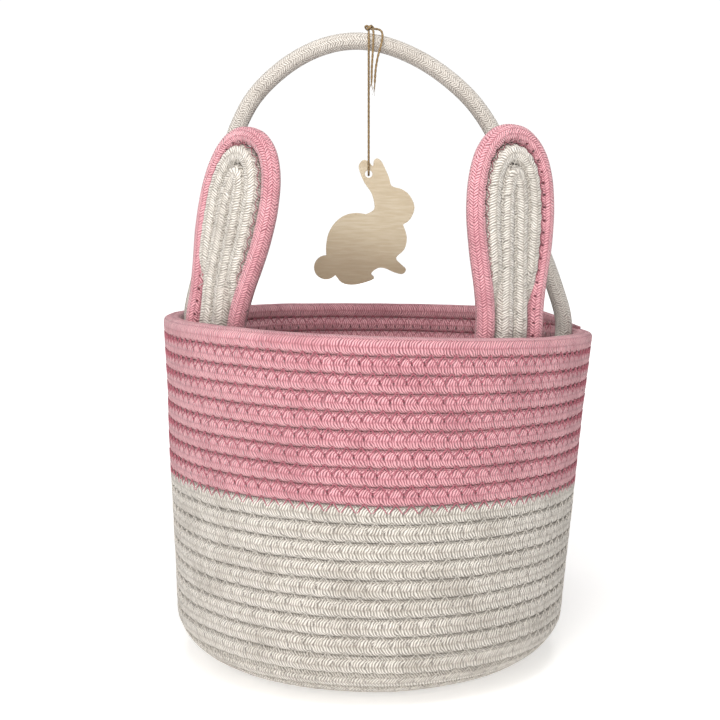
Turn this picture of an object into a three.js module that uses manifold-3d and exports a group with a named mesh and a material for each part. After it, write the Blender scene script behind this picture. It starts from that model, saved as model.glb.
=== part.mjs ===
// Easter basket of coiled rope: a round basket in two colours, an arch handle, two bunny ears
// and a wooden bunny tag on a loop of twine. Millimetres, +Z up, front towards -Y.
// The origin is the centre of the base, on the surface that the basket stands on.
import * as THREE from 'three';
import { mergeVertices } from 'three/addons/utils/BufferGeometryUtils.js';
import Module from 'manifold-3d';

const wasm = await Module();
wasm.setup();

// ---- Driving dimensions -------------------------------------------------------------------

const clearance = 0.3; // between pieces that touch

const ropeDiameter = 9.2; // braided cotton rope, the same in every coil, ear and handle
const coreDiameter = 5.4; // soft filler inside the braided cover

const basketHeight = 184;
const rimRadius = 115; // outside of the rim
const wallFootRadius = 105.5; // outside of the wall where the rounded corner ends
const cornerRun = 44; // the corner's reach across the base
const cornerRise = 28; // the corner's height
const pinkTurns = 9; // turns of pink rope, the rim included

const hingeAboveRim = 3; // height over the rim where handle and ears start to bend
const handleRise = 144; // bend line to the centre of the rope at the top
const handleFullness = 1.9; // 2 is an ellipse, less is more pointed
const handleWaist = 0.09; // share by which the legs draw in below the shoulders
const handleShoulder = 0.8; // share of the rise where the shoulders start
const handleLeanLimit = 35; // degrees
const handleSewnDepth = 56; // length of each end inside the wall
const handleTacks = 3; // bar tacks on each end

const earHeight = 97; // bend line to the top of the outline
const earWidth = 54.6; // across the outline where it is widest
const earWidestHeight = 56; // bend line to the widest place
const earFootWidth = 41; // across the outline at the bend line
const earSewnDepth = 40;
const earBendLimit = 20; // degrees
const earTacks = 2;
const ears = [
  { name: 'left_ear', azimuth: -50, tilt: 9, lean: 5 },
  { name: 'right_ear', azimuth: 40, tilt: 1, lean: 1 },
]; // azimuth from the front towards +X, tilt sideways, lean inwards, all in degrees

const threadDiameter = 1.2; // a bar tack's bundle of sewing thread

const twineDiameter = 1.3;
const knotWidth = 5.4;
const knotHeight = 3.6;
const twineJoinDrop = 43; // handle top to where the two strands run together
const tagDrop = 69.6; // handle top to the tag's hole
const tagThickness = 3;
const tagHoleRadius = 2;

const ringSegments = 64; // round the basket
const ropeSides = 10;
const cordSides = 8;
const threadSides = 6;

// ---- Values that follow from them -----------------------------------------------------------

const ropeRadius = ropeDiameter / 2;
const threadRadius = threadDiameter / 2;
const twineRadius = twineDiameter / 2;
const baseFlatRadius = wallFootRadius - cornerRun;
const rimCentreHeight = basketHeight - ropeRadius;
const wallRun = (rimRadius - wallFootRadius) / (rimCentreHeight - cornerRise);
const wallSlope = Math.atan(wallRun);
const colourChangeHeight = basketHeight - pinkTurns * ropeDiameter;
const hingeHeight = basketHeight + hingeAboveRim;
const handleTopHeight = hingeHeight + handleRise;
const radians = THREE.MathUtils.degToRad;

const outerRadiusAt = (z) => wallFootRadius + wallRun * (z - cornerRise);
const innerRadiusAt = (z) => outerRadiusAt(z) - ropeDiameter;
// How far a rope's cut end dips when it bends by an angle, with the clearance added.
const bendGap = (degrees) => ropeRadius * Math.sin(radians(degrees)) + clearance;

// ---- Materials ------------------------------------------------------------------------------

const finishes = {
  whiteRope: { color: 0xcdc5bb, roughness: 0.9, metalness: 0 },
  pinkRope: { color: 0xcd9299, roughness: 0.9, metalness: 0 },
  core: { color: 0xe6e1d8, roughness: 1, metalness: 0 },
  thread: { color: 0xe8e2dc, roughness: 0.6, metalness: 0 },
  twine: { color: 0x7d6650, roughness: 0.95, metalness: 0 },
  plywood: { color: 0xc0a98c, roughness: 0.7, metalness: 0 },
};

const basket = new THREE.Group();

function addPiece(parent, name, geometry, finish) {
  const mesh = new THREE.Mesh(geometry, new THREE.MeshStandardMaterial(finishes[finish]));
  mesh.name = name;
  parent.add(mesh);
  return mesh;
}

// ---- Shape helpers --------------------------------------------------------------------------

function circle(radius) {
  return new THREE.Shape().absarc(0, 0, radius, 0, 2 * Math.PI, false);
}

// A round rod along a path, or a tube when a bore radius is given.
function rod(path, radius, sides, steps, boreRadius = 0) {
  const section = circle(radius);
  if (boreRadius > 0) section.holes.push(circle(boreRadius));
  return new THREE.ExtrudeGeometry(section, {
    extrudePath: path,
    steps,
    curveSegments: sides / 2,
    bevelEnabled: false,
  });
}

// A solid of revolution about Z from [radius, height] points.
function turned(points) {
  const profile = points.map(([r, z]) => new THREE.Vector2(r, z));
  return new THREE.LatheGeometry(profile, ringSegments).rotateX(Math.PI / 2);
}

// A flat plate in the XZ plane, its thickness centred on Y = 0.
function plate(shape, thickness) {
  const geometry = new THREE.ExtrudeGeometry(shape, {
    depth: thickness,
    curveSegments: 10,
    bevelEnabled: false,
  });
  return geometry.translate(0, 0, -thickness / 2).rotateX(Math.PI / 2);
}

function arcPoints(centreR, centreZ, radiusR, radiusZ, from, to, steps) {
  return Array.from({ length: steps + 1 }, (_, i) => {
    const angle = from + ((to - from) * i) / steps;
    return [centreR + radiusR * Math.cos(angle), centreZ + radiusZ * Math.sin(angle)];
  });
}

// A path of straight runs with rounded corners.
function roundedPath(points, radius) {
  const path = new THREE.CurvePath();
  let start = points[0];
  for (let i = 1; i < points.length - 1; i += 1) {
    const corner = points[i];
    const entry = corner.clone().add(points[i - 1].clone().sub(corner).setLength(radius));
    const exit = corner.clone().add(points[i + 1].clone().sub(corner).setLength(radius));
    path.add(new THREE.LineCurve3(start, entry));
    path.add(new THREE.QuadraticBezierCurve3(entry, corner, exit));
    start = exit;
  }
  path.add(new THREE.LineCurve3(start, points.at(-1)));
  return path;
}

function toSolid(geometry) {
  const bare = geometry.clone();
  bare.deleteAttribute('normal');
  bare.deleteAttribute('uv');
  const merged = mergeVertices(bare, 1e-4);
  return new wasm.Manifold(new wasm.Mesh({
    numProp: 3,
    vertProperties: new Float32Array(merged.attributes.position.array),
    triVerts: new Uint32Array(merged.index.array),
  }));
}

function fromSolid(solid) {
  const { vertProperties, triVerts } = solid.getMesh();
  const geometry = new THREE.BufferGeometry();
  geometry.setAttribute('position', new THREE.BufferAttribute(vertProperties, 3));
  geometry.setIndex(new THREE.BufferAttribute(triVerts, 1));
  geometry.computeVertexNormals();
  return geometry;
}

// ---- Coils: floor, corner, wall and rim -------------------------------------------------------

// A band of the sloping wall between two heights.
function wallBand(bottom, top) {
  return turned([
    [outerRadiusAt(bottom), bottom],
    [outerRadiusAt(top), top],
    [innerRadiusAt(top), top],
    [innerRadiusAt(bottom), bottom],
    [outerRadiusAt(bottom), bottom],
  ]);
}

function buildCoils() {
  const cornerSteps = 6;
  const quarter = Math.PI / 2;
  addPiece(basket, 'base_coil', turned([
    [0, 0],
    [baseFlatRadius - clearance, 0],
    [baseFlatRadius - clearance, ropeDiameter],
    [0, ropeDiameter],
  ]), 'whiteRope');

  const outerCorner = arcPoints(
    baseFlatRadius, cornerRise, cornerRun, cornerRise, -quarter, 0, cornerSteps);
  const innerCorner = arcPoints(
    baseFlatRadius, cornerRise, cornerRun - ropeDiameter, cornerRise - ropeDiameter, 0, -quarter, cornerSteps);
  addPiece(basket, 'white_corner_coil', turned([
    ...outerCorner,
    ...innerCorner,
    [baseFlatRadius, 0],
  ]), 'whiteRope');

  const whiteTop = colourChangeHeight - clearance;
  const pinkTop = basketHeight - ropeDiameter - clearance;
  addPiece(basket, 'white_wall_coil', wallBand(cornerRise + clearance, whiteTop), 'whiteRope');
  addPiece(basket, 'pink_wall_coil', wallBand(colourChangeHeight, pinkTop), 'pinkRope');

  addPiece(basket, 'rim_coil', turned(arcPoints(
    rimRadius - ropeRadius, rimCentreHeight, ropeRadius, ropeRadius, 0, 2 * Math.PI, ropeSides)), 'pinkRope');
}

// ---- Handle -----------------------------------------------------------------------------------

const handleFootX = innerRadiusAt(hingeHeight) - ropeRadius - clearance;

// The arch stands in the XZ plane, from foot to foot over the middle of the basket.
class HandleArch extends THREE.Curve {
  getPoint(t, target = new THREE.Vector3()) {
    const angle = Math.PI * (1 - t);
    const power = 2 / handleFullness;
    const across = Math.sign(Math.cos(angle)) * Math.abs(Math.cos(angle)) ** power;
    const up = Math.abs(Math.sin(angle)) ** power;
    const legShare = Math.min(up / handleShoulder, 1);
    const drawnIn = 1 - handleWaist * Math.sin(Math.PI * legShare);
    return target.set(handleFootX * across * drawnIn, 0, hingeHeight + handleRise * up);
  }
}

// A bar tack: thread that wraps a sewn-in end and goes into the wall on both sides of it.
function handleTack(side, z) {
  const wrapRadius = ropeRadius + clearance + threadRadius;
  const opening = radians(48); // where the thread reaches the wall
  const centreX = innerRadiusAt(z) - ropeRadius - clearance;
  const steps = 16;
  const points = Array.from({ length: steps + 1 }, (_, i) => {
    const angle = opening + ((2 * Math.PI - 2 * opening) * i) / steps;
    return new THREE.Vector3(
      side * (centreX + wrapRadius * Math.cos(angle)), wrapRadius * Math.sin(angle), z);
  });
  return rod(new THREE.CatmullRomCurve3(points), threadRadius, threadSides, 14);
}

function buildHandle() {
  const arch = new HandleArch();
  const boreRadius = coreDiameter / 2 + clearance;
  const archSteps = 44;
  addPiece(basket, 'handle_cover', rod(arch, ropeRadius, ropeSides, archSteps, boreRadius), 'whiteRope');
  addPiece(basket, 'handle_core', rod(arch, coreDiameter / 2, threadSides, archSteps), 'core');

  const legTop = bendGap(handleLeanLimit);
  for (const [word, side] of [['left', -1], ['right', 1]]) {
    const legPoint = (depth) => new THREE.Vector3(
      side * (handleFootX - wallRun * depth), 0, hingeHeight - depth);
    const leg = new THREE.LineCurve3(legPoint(legTop), legPoint(handleSewnDepth));
    addPiece(basket, `handle_end_${word}`, rod(leg, ropeRadius, ropeSides, 1), 'whiteRope');
    for (let i = 1; i <= handleTacks; i += 1) {
      const z = hingeHeight - (handleSewnDepth * i) / (handleTacks + 0.5);
      addPiece(basket, `handle_tack_${word}_${i}`, handleTack(side, z), 'thread');
    }
  }
}

// ---- Ears ---------------------------------------------------------------------------------------

// The centre line of an inverted U: two legs that widen upwards and a half-ellipse over them.
class EarLoop extends THREE.Curve {
  constructor(footHalf, wideHalf, wideHeight, topHeight) {
    super();
    Object.assign(this, { footHalf, wideHalf, wideHeight, topHeight });
  }

  getPoint(t, target = new THREE.Vector3()) {
    const side = t < 0.5 ? -1 : 1;
    const fromFoot = 1 - Math.abs(2 * t - 1); // 0 at a foot, 1 at the top
    const legShare = 0.5;
    if (fromFoot < legShare) {
      const rise = fromFoot / legShare;
      const widening = (1 - Math.cos(Math.PI * rise)) / 2;
      const half = this.footHalf + (this.wideHalf - this.footHalf) * widening;
      return target.set(side * half, 0, this.wideHeight * rise);
    }
    const angle = (Math.PI / 2) * ((fromFoot - legShare) / (1 - legShare));
    const topRise = this.topHeight - this.wideHeight;
    return target.set(
      side * this.wideHalf * Math.cos(angle), 0, this.wideHeight + topRise * Math.sin(angle));
  }
}

// Points of a loop moved inwards by a distance, as a flat outline in X and Z.
function insetOutline(loop, distance, steps = 32) {
  return Array.from({ length: steps + 1 }, (_, i) => {
    const t = i / steps;
    const point = loop.getPoint(t);
    const tangent = loop.getTangent(t);
    return new THREE.Vector2(point.x + tangent.z * distance, point.z - tangent.x * distance);
  });
}

const earFootHalf = earFootWidth / 2 - ropeRadius;
const earWideHalf = earWidth / 2 - ropeRadius;
const earCordRadius = ropeRadius - clearance / 2; // each pass leaves half a gap on both sides
const earPlateThickness = 2 * earCordRadius;
const innerFillFootHalf = (earFootHalf - ropeRadius) / 2;
const innerFillWideHalf = (earWideHalf - ropeRadius) / 2;
const innerFillTop = earHeight - 2 * ropeDiameter - clearance;

// The ear stands where its sewn-in legs, tilt included, just clear the curved wall.
function earStandRadius(tilt) {
  const reach = earFootHalf + earSewnDepth * Math.sin(radians(Math.abs(tilt)));
  const legLimit = innerRadiusAt(hingeHeight) - ropeRadius - clearance;
  return Math.sqrt(legLimit ** 2 - reach ** 2) - clearance;
}

function buildEarBlade(blade, name) {
  const outline = new EarLoop(earFootHalf, earWideHalf, earWidestHeight, earHeight - ropeRadius);
  addPiece(blade, `${name}_outline`, rod(outline, earCordRadius, ropeSides, 36), 'pinkRope');

  const split = new EarLoop(innerFillFootHalf, innerFillWideHalf, earWidestHeight, innerFillTop);
  const band = new THREE.Shape([
    ...insetOutline(outline, ropeRadius + clearance / 2),
    ...insetOutline(split, -clearance / 2).reverse(),
  ]);
  addPiece(blade, `${name}_outer_fill`, plate(band, earPlateThickness), 'whiteRope');
  const tongue = new THREE.Shape(insetOutline(split, clearance / 2));
  addPiece(blade, `${name}_inner_fill`, plate(tongue, earPlateThickness), 'whiteRope');
}

function buildEarRoot(root, name, top) {
  const legs = [
    ['outline_end_a', -earFootHalf, 'pinkRope'],
    ['fill_end_a', -ropeRadius, 'whiteRope'],
    ['fill_end_b', ropeRadius, 'whiteRope'],
    ['outline_end_b', earFootHalf, 'pinkRope'],
  ];
  for (const [word, x, finish] of legs) {
    const leg = new THREE.LineCurve3(
      new THREE.Vector3(x, 0, -top), new THREE.Vector3(x, 0, -earSewnDepth));
    addPiece(root, `${name}_${word}`, rod(leg, earCordRadius, ropeSides, 1), finish);
  }
  const side = earFootHalf + earCordRadius + clearance + threadRadius;
  const front = earCordRadius + clearance + threadRadius;
  const back = -earCordRadius / 2;
  for (let i = 1; i <= earTacks; i += 1) {
    const z = -(earSewnDepth * i) / (earTacks + 0.5);
    const corners = [[-side, back], [-side, front], [side, front], [side, back]];
    const path = roundedPath(corners.map(([x, y]) => new THREE.Vector3(x, y, z)), 2 * threadDiameter);
    addPiece(root, `${name}_tack_${i}`, rod(path, threadRadius, threadSides, 30), 'thread');
  }
}

// In an ear's group X runs along the wall, Y points into the basket and Z is up.
function buildEar({ name, azimuth, tilt, lean }) {
  const ear = new THREE.Group();
  const angle = radians(azimuth);
  const stand = earStandRadius(tilt);
  ear.position.set(stand * Math.sin(angle), -stand * Math.cos(angle), hingeHeight);
  ear.rotation.z = angle;
  basket.add(ear);

  const blade = new THREE.Group();
  blade.rotation.set(radians(-lean), radians(tilt), 0);
  ear.add(blade);
  buildEarBlade(blade, name);

  const root = new THREE.Group();
  root.rotation.set(wallSlope, radians(tilt), 0);
  ear.add(root);
  buildEarRoot(root, name, bendGap(earBendLimit + lean));
}

// ---- Twine ------------------------------------------------------------------------------------

const saddleRadius = ropeRadius + clearance + twineRadius;
const strandGapHalf = twineRadius + clearance / 2;

// Half a turn of twine over the handle with the knot on top of it.
function buildSaddle() {
  const steps = 12;
  const points = Array.from({ length: steps + 1 }, (_, i) => {
    const angle = (Math.PI * i) / steps;
    return new THREE.Vector3(
      0, -saddleRadius * Math.cos(angle), handleTopHeight + saddleRadius * Math.sin(angle));
  });
  const arc = rod(new THREE.CatmullRomCurve3(points), twineRadius, cordSides, 16);
  const knot = new THREE.SphereGeometry(knotWidth / 2, 12, 8);
  knot.scale(1, 1, knotHeight / knotWidth);
  knot.translate(0, 0, handleTopHeight + ropeRadius + clearance + knotHeight / 2);
  addPiece(basket, 'twine_knot', fromSolid(toSolid(arc).add(toSolid(knot))), 'twine');
}

// Two strands fall from the saddle, front and back of the handle, and run together below it.
function buildStrands() {
  const joinHeight = handleTopHeight - twineJoinDrop;
  for (const [word, side] of [['front', -1], ['back', 1]]) {
    const points = [
      [saddleRadius, handleTopHeight - clearance],
      [saddleRadius, handleTopHeight - ropeRadius / 2],
      [saddleRadius - twineRadius, handleTopHeight - ropeDiameter],
      [(saddleRadius + strandGapHalf) / 2, (handleTopHeight + joinHeight) / 2],
      [strandGapHalf, joinHeight + twineDiameter],
      [strandGapHalf, joinHeight],
    ];
    const path = new THREE.CatmullRomCurve3(points.map(([y, z]) => new THREE.Vector3(0, side * y, z)));
    addPiece(basket, `twine_strand_${word}`, rod(path, twineRadius, cordSides, 16), 'twine');
  }
}

// The bight of the twine goes down one face of the tag, through its hole and up the other face.
function buildTagBight() {
  const top = handleTopHeight - twineJoinDrop - clearance;
  const hole = handleTopHeight - tagDrop;
  const face = tagThickness / 2 + clearance + twineRadius;
  const half = [
    [strandGapHalf, top],
    [strandGapHalf, top - twineDiameter],
    [face, top - 10 * twineDiameter],
    [face, hole + 3 * twineDiameter],
    [face - clearance, hole + twineRadius],
  ];
  const points = [
    ...half.map(([y, z]) => new THREE.Vector3(0, -y, z)),
    new THREE.Vector3(0, 0, hole - twineRadius),
    ...half.map(([y, z]) => new THREE.Vector3(0, y, z)).reverse(),
  ];
  addPiece(basket, 'twine_bight', rod(new THREE.CatmullRomCurve3(points), twineRadius, cordSides, 44), 'twine');
}

// Two loose ends leave the knot, pass the front of the handle and hang to frayed tips.
// Each point is [x, y, height over the handle's centre line].
const tailRoutes = {
  twine_tail_long: [
    [3.0, -0.5, 6.7], [5.0, -2.1, 6.3], [6.6, -4.1, 5.1], [7.2, -5.9, 2.8], [6.8, -6.8, -0.8],
    [5.6, -7.2, -5.2], [4.5, -7.4, -9.6], [3.7, -7.5, -14.4], [3.3, -7.6, -19.2], [3.1, -7.7, -24.0],
  ],
  twine_tail_short: [
    [2.0, -2.4, 6.4], [2.4, -4.4, 5.0], [2.5, -6.0, 2.8], [2.4, -7.0, 0.0], [2.2, -7.4, -4.0],
    [1.9, -7.6, -9.0], [1.6, -7.8, -14.0], [1.5, -7.9, -18.5], [1.4, -8.0, -23.0],
  ],
};

function buildTails() {
  for (const [name, route] of Object.entries(tailRoutes)) {
    const points = route.map(([x, y, z]) => new THREE.Vector3(x, y, handleTopHeight + z));
    addPiece(basket, name, rod(new THREE.CatmullRomCurve3(points), twineRadius, cordSides, 18), 'twine');
  }
}

// ---- Tag --------------------------------------------------------------------------------------

// A sitting bunny seen from the side, cut from thin plywood. X and Z from the hole's centre.
const tagOutline = {
  earsAndHead: [
    [-1.4, -21.4], [2.7, -19.2], [3.0, -15.5], [1.4, -10.0], [-2.2, -4.8], [-4.8, 1.2],
    [-5.3, 4.6], [-3.2, 7.3], [-0.4, 6.9], [2.2, 4.2], [2.8, 7.2], [4.6, 8.3],
    [6.6, 7.0], [8.6, 3.4], [10.9, -1.8], [12.4, -6.4], [17.6, -8.0], [22.0, -11.4],
    [24.7, -17.8], [22.3, -24.2], [18.5, -27.0],
  ],
  chestAndFeet: [
    [18.5, -27.0], [20.6, -33.8], [19.2, -40.4], [14.8, -44.8], [17.6, -48.4], [20.2, -51.0],
    [18.2, -53.6], [13.6, -52.6], [8.8, -50.5], [5.0, -50.4], [1.4, -53.2], [3.0, -56.0],
    [-3.0, -58.4], [-9.2, -59.4], [-14.6, -58.2], [-17.9, -54.2],
  ],
  back: [
    [-22.9, -43.6], [-22.9, -38.0], [-21.6, -31.6], [-18.0, -25.8], [-12.8, -22.0], [-6.8, -20.8],
    [-1.4, -21.4],
  ],
};
const bunnyTailCentre = [-23, -50];
const bunnyTailRadius = 6.5;

function splinePoints(points, each = 3) {
  const curve = new THREE.SplineCurve(points.map(([x, z]) => new THREE.Vector2(x, z)));
  return curve.getPoints(each * (points.length - 1));
}

// The bunny's round tail joins the feet to the back on an arc that bulges away from the body.
function bunnyTail() {
  const [x, z] = bunnyTailCentre;
  const angleOf = ([px, pz]) => Math.atan2(pz - z, px - x);
  const from = angleOf(tagOutline.chestAndFeet.at(-1));
  const to = angleOf(tagOutline.back[0]) - 2 * Math.PI;
  return arcPoints(x, z, bunnyTailRadius, bunnyTailRadius, from, to, 16)
    .map(([px, pz]) => new THREE.Vector2(px, pz));
}

function buildTag() {
  const outline = [
    ...splinePoints(tagOutline.earsAndHead).slice(1),
    ...splinePoints(tagOutline.chestAndFeet).slice(1, -1),
    ...bunnyTail(),
    ...splinePoints(tagOutline.back).slice(1),
  ];
  const shape = new THREE.Shape(outline);
  shape.holes.push(circle(tagHoleRadius));
  const tag = addPiece(basket, 'bunny_tag', plate(shape, tagThickness), 'plywood');
  tag.position.z = handleTopHeight - tagDrop;
}

buildCoils();
buildHandle();
ears.forEach(buildEar);
buildSaddle();
buildStrands();
buildTagBight();
buildTails();
buildTag();

export default basket;
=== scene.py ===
"""Looks of the coiled rope easter basket: sewn rope wall, rope handle, two ears and a wooden tag."""
import logging
import math
from dataclasses import dataclass
from enum import Enum
from typing import Callable, Optional, Sequence, Union

import bpy
import numpy as np
from mathutils import Matrix, Vector


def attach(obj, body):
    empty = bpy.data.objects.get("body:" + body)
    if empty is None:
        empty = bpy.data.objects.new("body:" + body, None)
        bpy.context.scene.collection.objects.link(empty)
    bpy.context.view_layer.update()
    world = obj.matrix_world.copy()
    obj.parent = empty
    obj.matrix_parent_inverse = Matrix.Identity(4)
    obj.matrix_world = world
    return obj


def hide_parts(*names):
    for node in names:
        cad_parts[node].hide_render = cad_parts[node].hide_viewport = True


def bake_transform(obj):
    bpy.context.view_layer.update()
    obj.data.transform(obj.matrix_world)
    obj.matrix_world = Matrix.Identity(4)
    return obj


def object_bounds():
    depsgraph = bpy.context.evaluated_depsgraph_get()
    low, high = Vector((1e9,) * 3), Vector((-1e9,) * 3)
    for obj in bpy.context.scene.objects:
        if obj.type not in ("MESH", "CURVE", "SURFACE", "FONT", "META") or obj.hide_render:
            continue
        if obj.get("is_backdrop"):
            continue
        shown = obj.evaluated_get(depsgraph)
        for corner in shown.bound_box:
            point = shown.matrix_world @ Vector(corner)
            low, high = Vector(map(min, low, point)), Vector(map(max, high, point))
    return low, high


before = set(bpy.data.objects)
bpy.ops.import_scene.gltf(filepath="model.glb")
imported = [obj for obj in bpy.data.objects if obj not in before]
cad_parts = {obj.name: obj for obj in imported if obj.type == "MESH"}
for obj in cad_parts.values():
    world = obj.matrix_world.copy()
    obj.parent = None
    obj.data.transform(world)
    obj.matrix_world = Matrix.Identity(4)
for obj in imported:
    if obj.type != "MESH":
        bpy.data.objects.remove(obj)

MM = 0.001  # every size below is in millimetres, every mesh in metres
FULL_TURN = 2 * math.pi
Points = np.ndarray
Value = Union[float, int, str, "Wire", bpy.types.NodeSocket, Sequence[float]]

logging.basicConfig(level=logging.INFO, format="%(message)s")
log = logging.getLogger("basket")


# ---- Node helpers ---------------------------------------------------------------------------------
def add_node(tree: bpy.types.NodeTree, kind: str, settings: Optional[dict] = None,
             links: Optional[dict] = None) -> bpy.types.Node:
    """Add one node with its settings and links.

    Args:
        tree: the tree that gets the node.
        kind: Blender's name of the node type.
        settings: properties of the node, by name.
        links: values, sockets or wires for its inputs, by socket name or number.

    Returns:
        The new node.
    """
    made = tree.nodes.new(kind)
    for name, value in (settings or {}).items():
        setattr(made, name, value)
    for key, value in (links or {}).items():
        socket = made.inputs[key]
        if isinstance(value, Wire):
            value = value.socket
        if isinstance(value, bpy.types.NodeSocket):
            tree.links.new(value, socket)
        else:
            socket.default_value = value
    return made


class Wire:
    """A number or vector inside a node tree; arithmetic on it adds Math nodes."""

    def __init__(self, tree: bpy.types.NodeTree, socket: bpy.types.NodeSocket) -> None:
        """Keep the tree and the socket that gives the value."""
        self.tree = tree
        self.socket = socket

    def math(self, operation: str, *others: Value) -> "Wire":
        """Apply a Math operation to this value and the others."""
        links = dict(enumerate((self, *others)))
        made = add_node(self.tree, "ShaderNodeMath", {"operation": operation}, links)
        return Wire(self.tree, made.outputs[0])

    def vector(self, operation: str, *others: Value) -> "Wire":
        """Apply a Vector Math operation; a second number is taken as the scale."""
        links = {0: self}
        if operation == "SCALE":
            links["Scale"] = others[0]
        else:
            links.update(enumerate(others, 1))
        made = add_node(self.tree, "ShaderNodeVectorMath", {"operation": operation}, links)
        return Wire(self.tree, made.outputs["Value" if operation in ("LENGTH", "DOT_PRODUCT") else 0])

    def part(self, axis: int) -> "Wire":
        """Give one coordinate of a vector."""
        made = add_node(self.tree, "ShaderNodeSeparateXYZ", None, {0: self})
        return Wire(self.tree, made.outputs[axis])

    def flipped(self, operation: str, other: Value) -> "Wire":
        """Apply an operation with this value second."""
        made = add_node(self.tree, "ShaderNodeMath", {"operation": operation}, {0: other, 1: self})
        return Wire(self.tree, made.outputs[0])

    def __add__(self, other: Value) -> "Wire":
        """Sum."""
        return self.math("ADD", other)

    def __sub__(self, other: Value) -> "Wire":
        """Difference."""
        return self.math("SUBTRACT", other)

    def __mul__(self, other: Value) -> "Wire":
        """Product."""
        return self.math("MULTIPLY", other)

    def __truediv__(self, other: Value) -> "Wire":
        """Quotient."""
        return self.math("DIVIDE", other)

    def __rsub__(self, other: Value) -> "Wire":
        """Difference from a number."""
        return self.flipped("SUBTRACT", other)

    def __rtruediv__(self, other: Value) -> "Wire":
        """Quotient of a number by this value."""
        return self.flipped("DIVIDE", other)

    __radd__ = __add__
    __rmul__ = __mul__

    def clamped(self, low: Value = 0.0, high: Value = 1.0) -> "Wire":
        """Keep the value between two limits."""
        return self.math("MAXIMUM", low).math("MINIMUM", high)

    def eased(self) -> "Wire":
        """Turn 0..1 into a smooth step."""
        held = self.clamped()
        return held * held * (3.0 - 2.0 * held)


def combined(tree: bpy.types.NodeTree, x: Value, y: Value, z: Value) -> Wire:
    """Make one vector of three numbers."""
    return Wire(tree, add_node(tree, "ShaderNodeCombineXYZ", None, {0: x, 1: y, 2: z}).outputs[0])


def color(code: str, alpha: float = 1.0) -> tuple:
    """Turn an sRGB hex colour such as '#c9929a' into a linear one."""
    parts = [int(code[i:i + 2], 16) / 255 for i in (1, 3, 5)]
    linear = [c / 12.92 if c <= 0.04045 else ((c + 0.055) / 1.055) ** 2.4 for c in parts]
    return (*linear, alpha)


class Rule:
    """A geometry node group with named inputs, built in code."""

    KINDS = {float: "NodeSocketFloat", int: "NodeSocketInt", "vector": "NodeSocketVector",
             "geometry": "NodeSocketGeometry", "object": "NodeSocketObject",
             "material": "NodeSocketMaterial"}

    def __init__(self, name: str, inputs: dict, outputs: dict) -> None:
        """Make the empty group.

        Args:
            name: what the group makes.
            inputs: kinds of the inputs by name.
            outputs: kinds of the outputs by name.
        """
        self.tree = bpy.data.node_groups.new(name, "GeometryNodeTree")
        for in_out, sockets in (("INPUT", inputs), ("OUTPUT", outputs)):
            for label, kind in sockets.items():
                self.tree.interface.new_socket(label, in_out=in_out, socket_type=self.KINDS[kind])
        self.source = add_node(self.tree, "NodeGroupInput")
        self.sink = add_node(self.tree, "NodeGroupOutput")

    def given(self, name: str) -> Wire:
        """Give the value of an input."""
        return Wire(self.tree, self.source.outputs[name])

    def add(self, kind: str, settings: Optional[dict] = None, out: Union[int, str] = 0,
            **links: Value) -> Wire:
        """Add a node whose inputs are named by keyword, with spaces as underscores.

        Args:
            kind: Blender's name of the node type.
            settings: properties of the node.
            out: which output to give.
            **links: values for the inputs.

        Returns:
            The output as a wire.
        """
        named = {name.replace("_", " "): value for name, value in links.items()}
        return Wire(self.tree, add_node(self.tree, kind, settings, named).outputs[out])

    def attribute(self, name: str, kind: str = "FLOAT") -> Wire:
        """Read a named attribute."""
        return self.add("GeometryNodeInputNamedAttribute", {"data_type": kind}, Name=name)

    def stored(self, shape: Wire, name: str, value: Value, kind: str = "FLOAT",
               domain: str = "POINT") -> Wire:
        """Store a named attribute on a geometry."""
        made = {"data_type": kind, "domain": domain}
        return self.add("GeometryNodeStoreNamedAttribute", made, Geometry=shape, Name=name, Value=value)

    def used(self, group: "Rule", same: Sequence[str] = (), **links: Value) -> dict:
        """Use another group inside this one and give all its outputs by name.

        Args:
            group: the other group.
            same: its inputs that take this group's own input of that name.
            **links: values for its other inputs, with spaces as underscores.

        Returns:
            The outputs as wires.
        """
        named = {name.replace("_", " "): value for name, value in links.items()}
        named.update({name: self.given(name) for name in same})
        node = add_node(self.tree, "GeometryNodeGroup", {"node_tree": group.tree}, named)
        return {socket.name: Wire(self.tree, socket) for socket in node.outputs}

    def through(self, group: "Rule", same: Sequence[str] = (), **links: Value) -> Wire:
        """Use another group that has one output and give that."""
        return next(iter(self.used(group, same, **links).values()))

    def moved(self, shape: Value, **links: Value) -> Wire:
        """Set the position of a geometry's points or offset them."""
        return self.add("GeometryNodeSetPosition", None, 0, Geometry=shape, **links)

    def finish(self, **outputs: Value) -> "Rule":
        """Link the outputs by name."""
        for name, value in outputs.items():
            self.tree.links.new(value.socket, self.sink.inputs[name.replace("_", " ")])
        return self


def run_rule(name: str, rule: Rule, values: dict,
             spine: Optional[bpy.types.Mesh] = None) -> bpy.types.Object:
    """Run a node group and keep its result as a plain mesh.

    Args:
        name: name of the new object.
        rule: the group, with one geometry output.
        values: inputs by name.
        spine: mesh that goes in as the geometry, where the group takes one.

    Returns:
        An object at the origin that holds the finished mesh.
    """
    holder = bpy.data.objects.new(name, spine or bpy.data.meshes.new(name))
    bpy.context.scene.collection.objects.link(holder)
    modifier = holder.modifiers.new("rule", "NODES")
    modifier.node_group = rule.tree
    idents = {item.name: item.identifier for item in rule.tree.interface.items_tree
              if item.in_out == "INPUT"}
    for label, value in values.items():
        modifier[idents[label]] = value
    depsgraph = bpy.context.evaluated_depsgraph_get()
    mesh = bpy.data.meshes.new_from_object(holder.evaluated_get(depsgraph),
                                           preserve_all_data_layers=True, depsgraph=depsgraph)
    holder.modifiers.remove(modifier)
    mesh.name = name
    holder.data = mesh
    return holder


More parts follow.
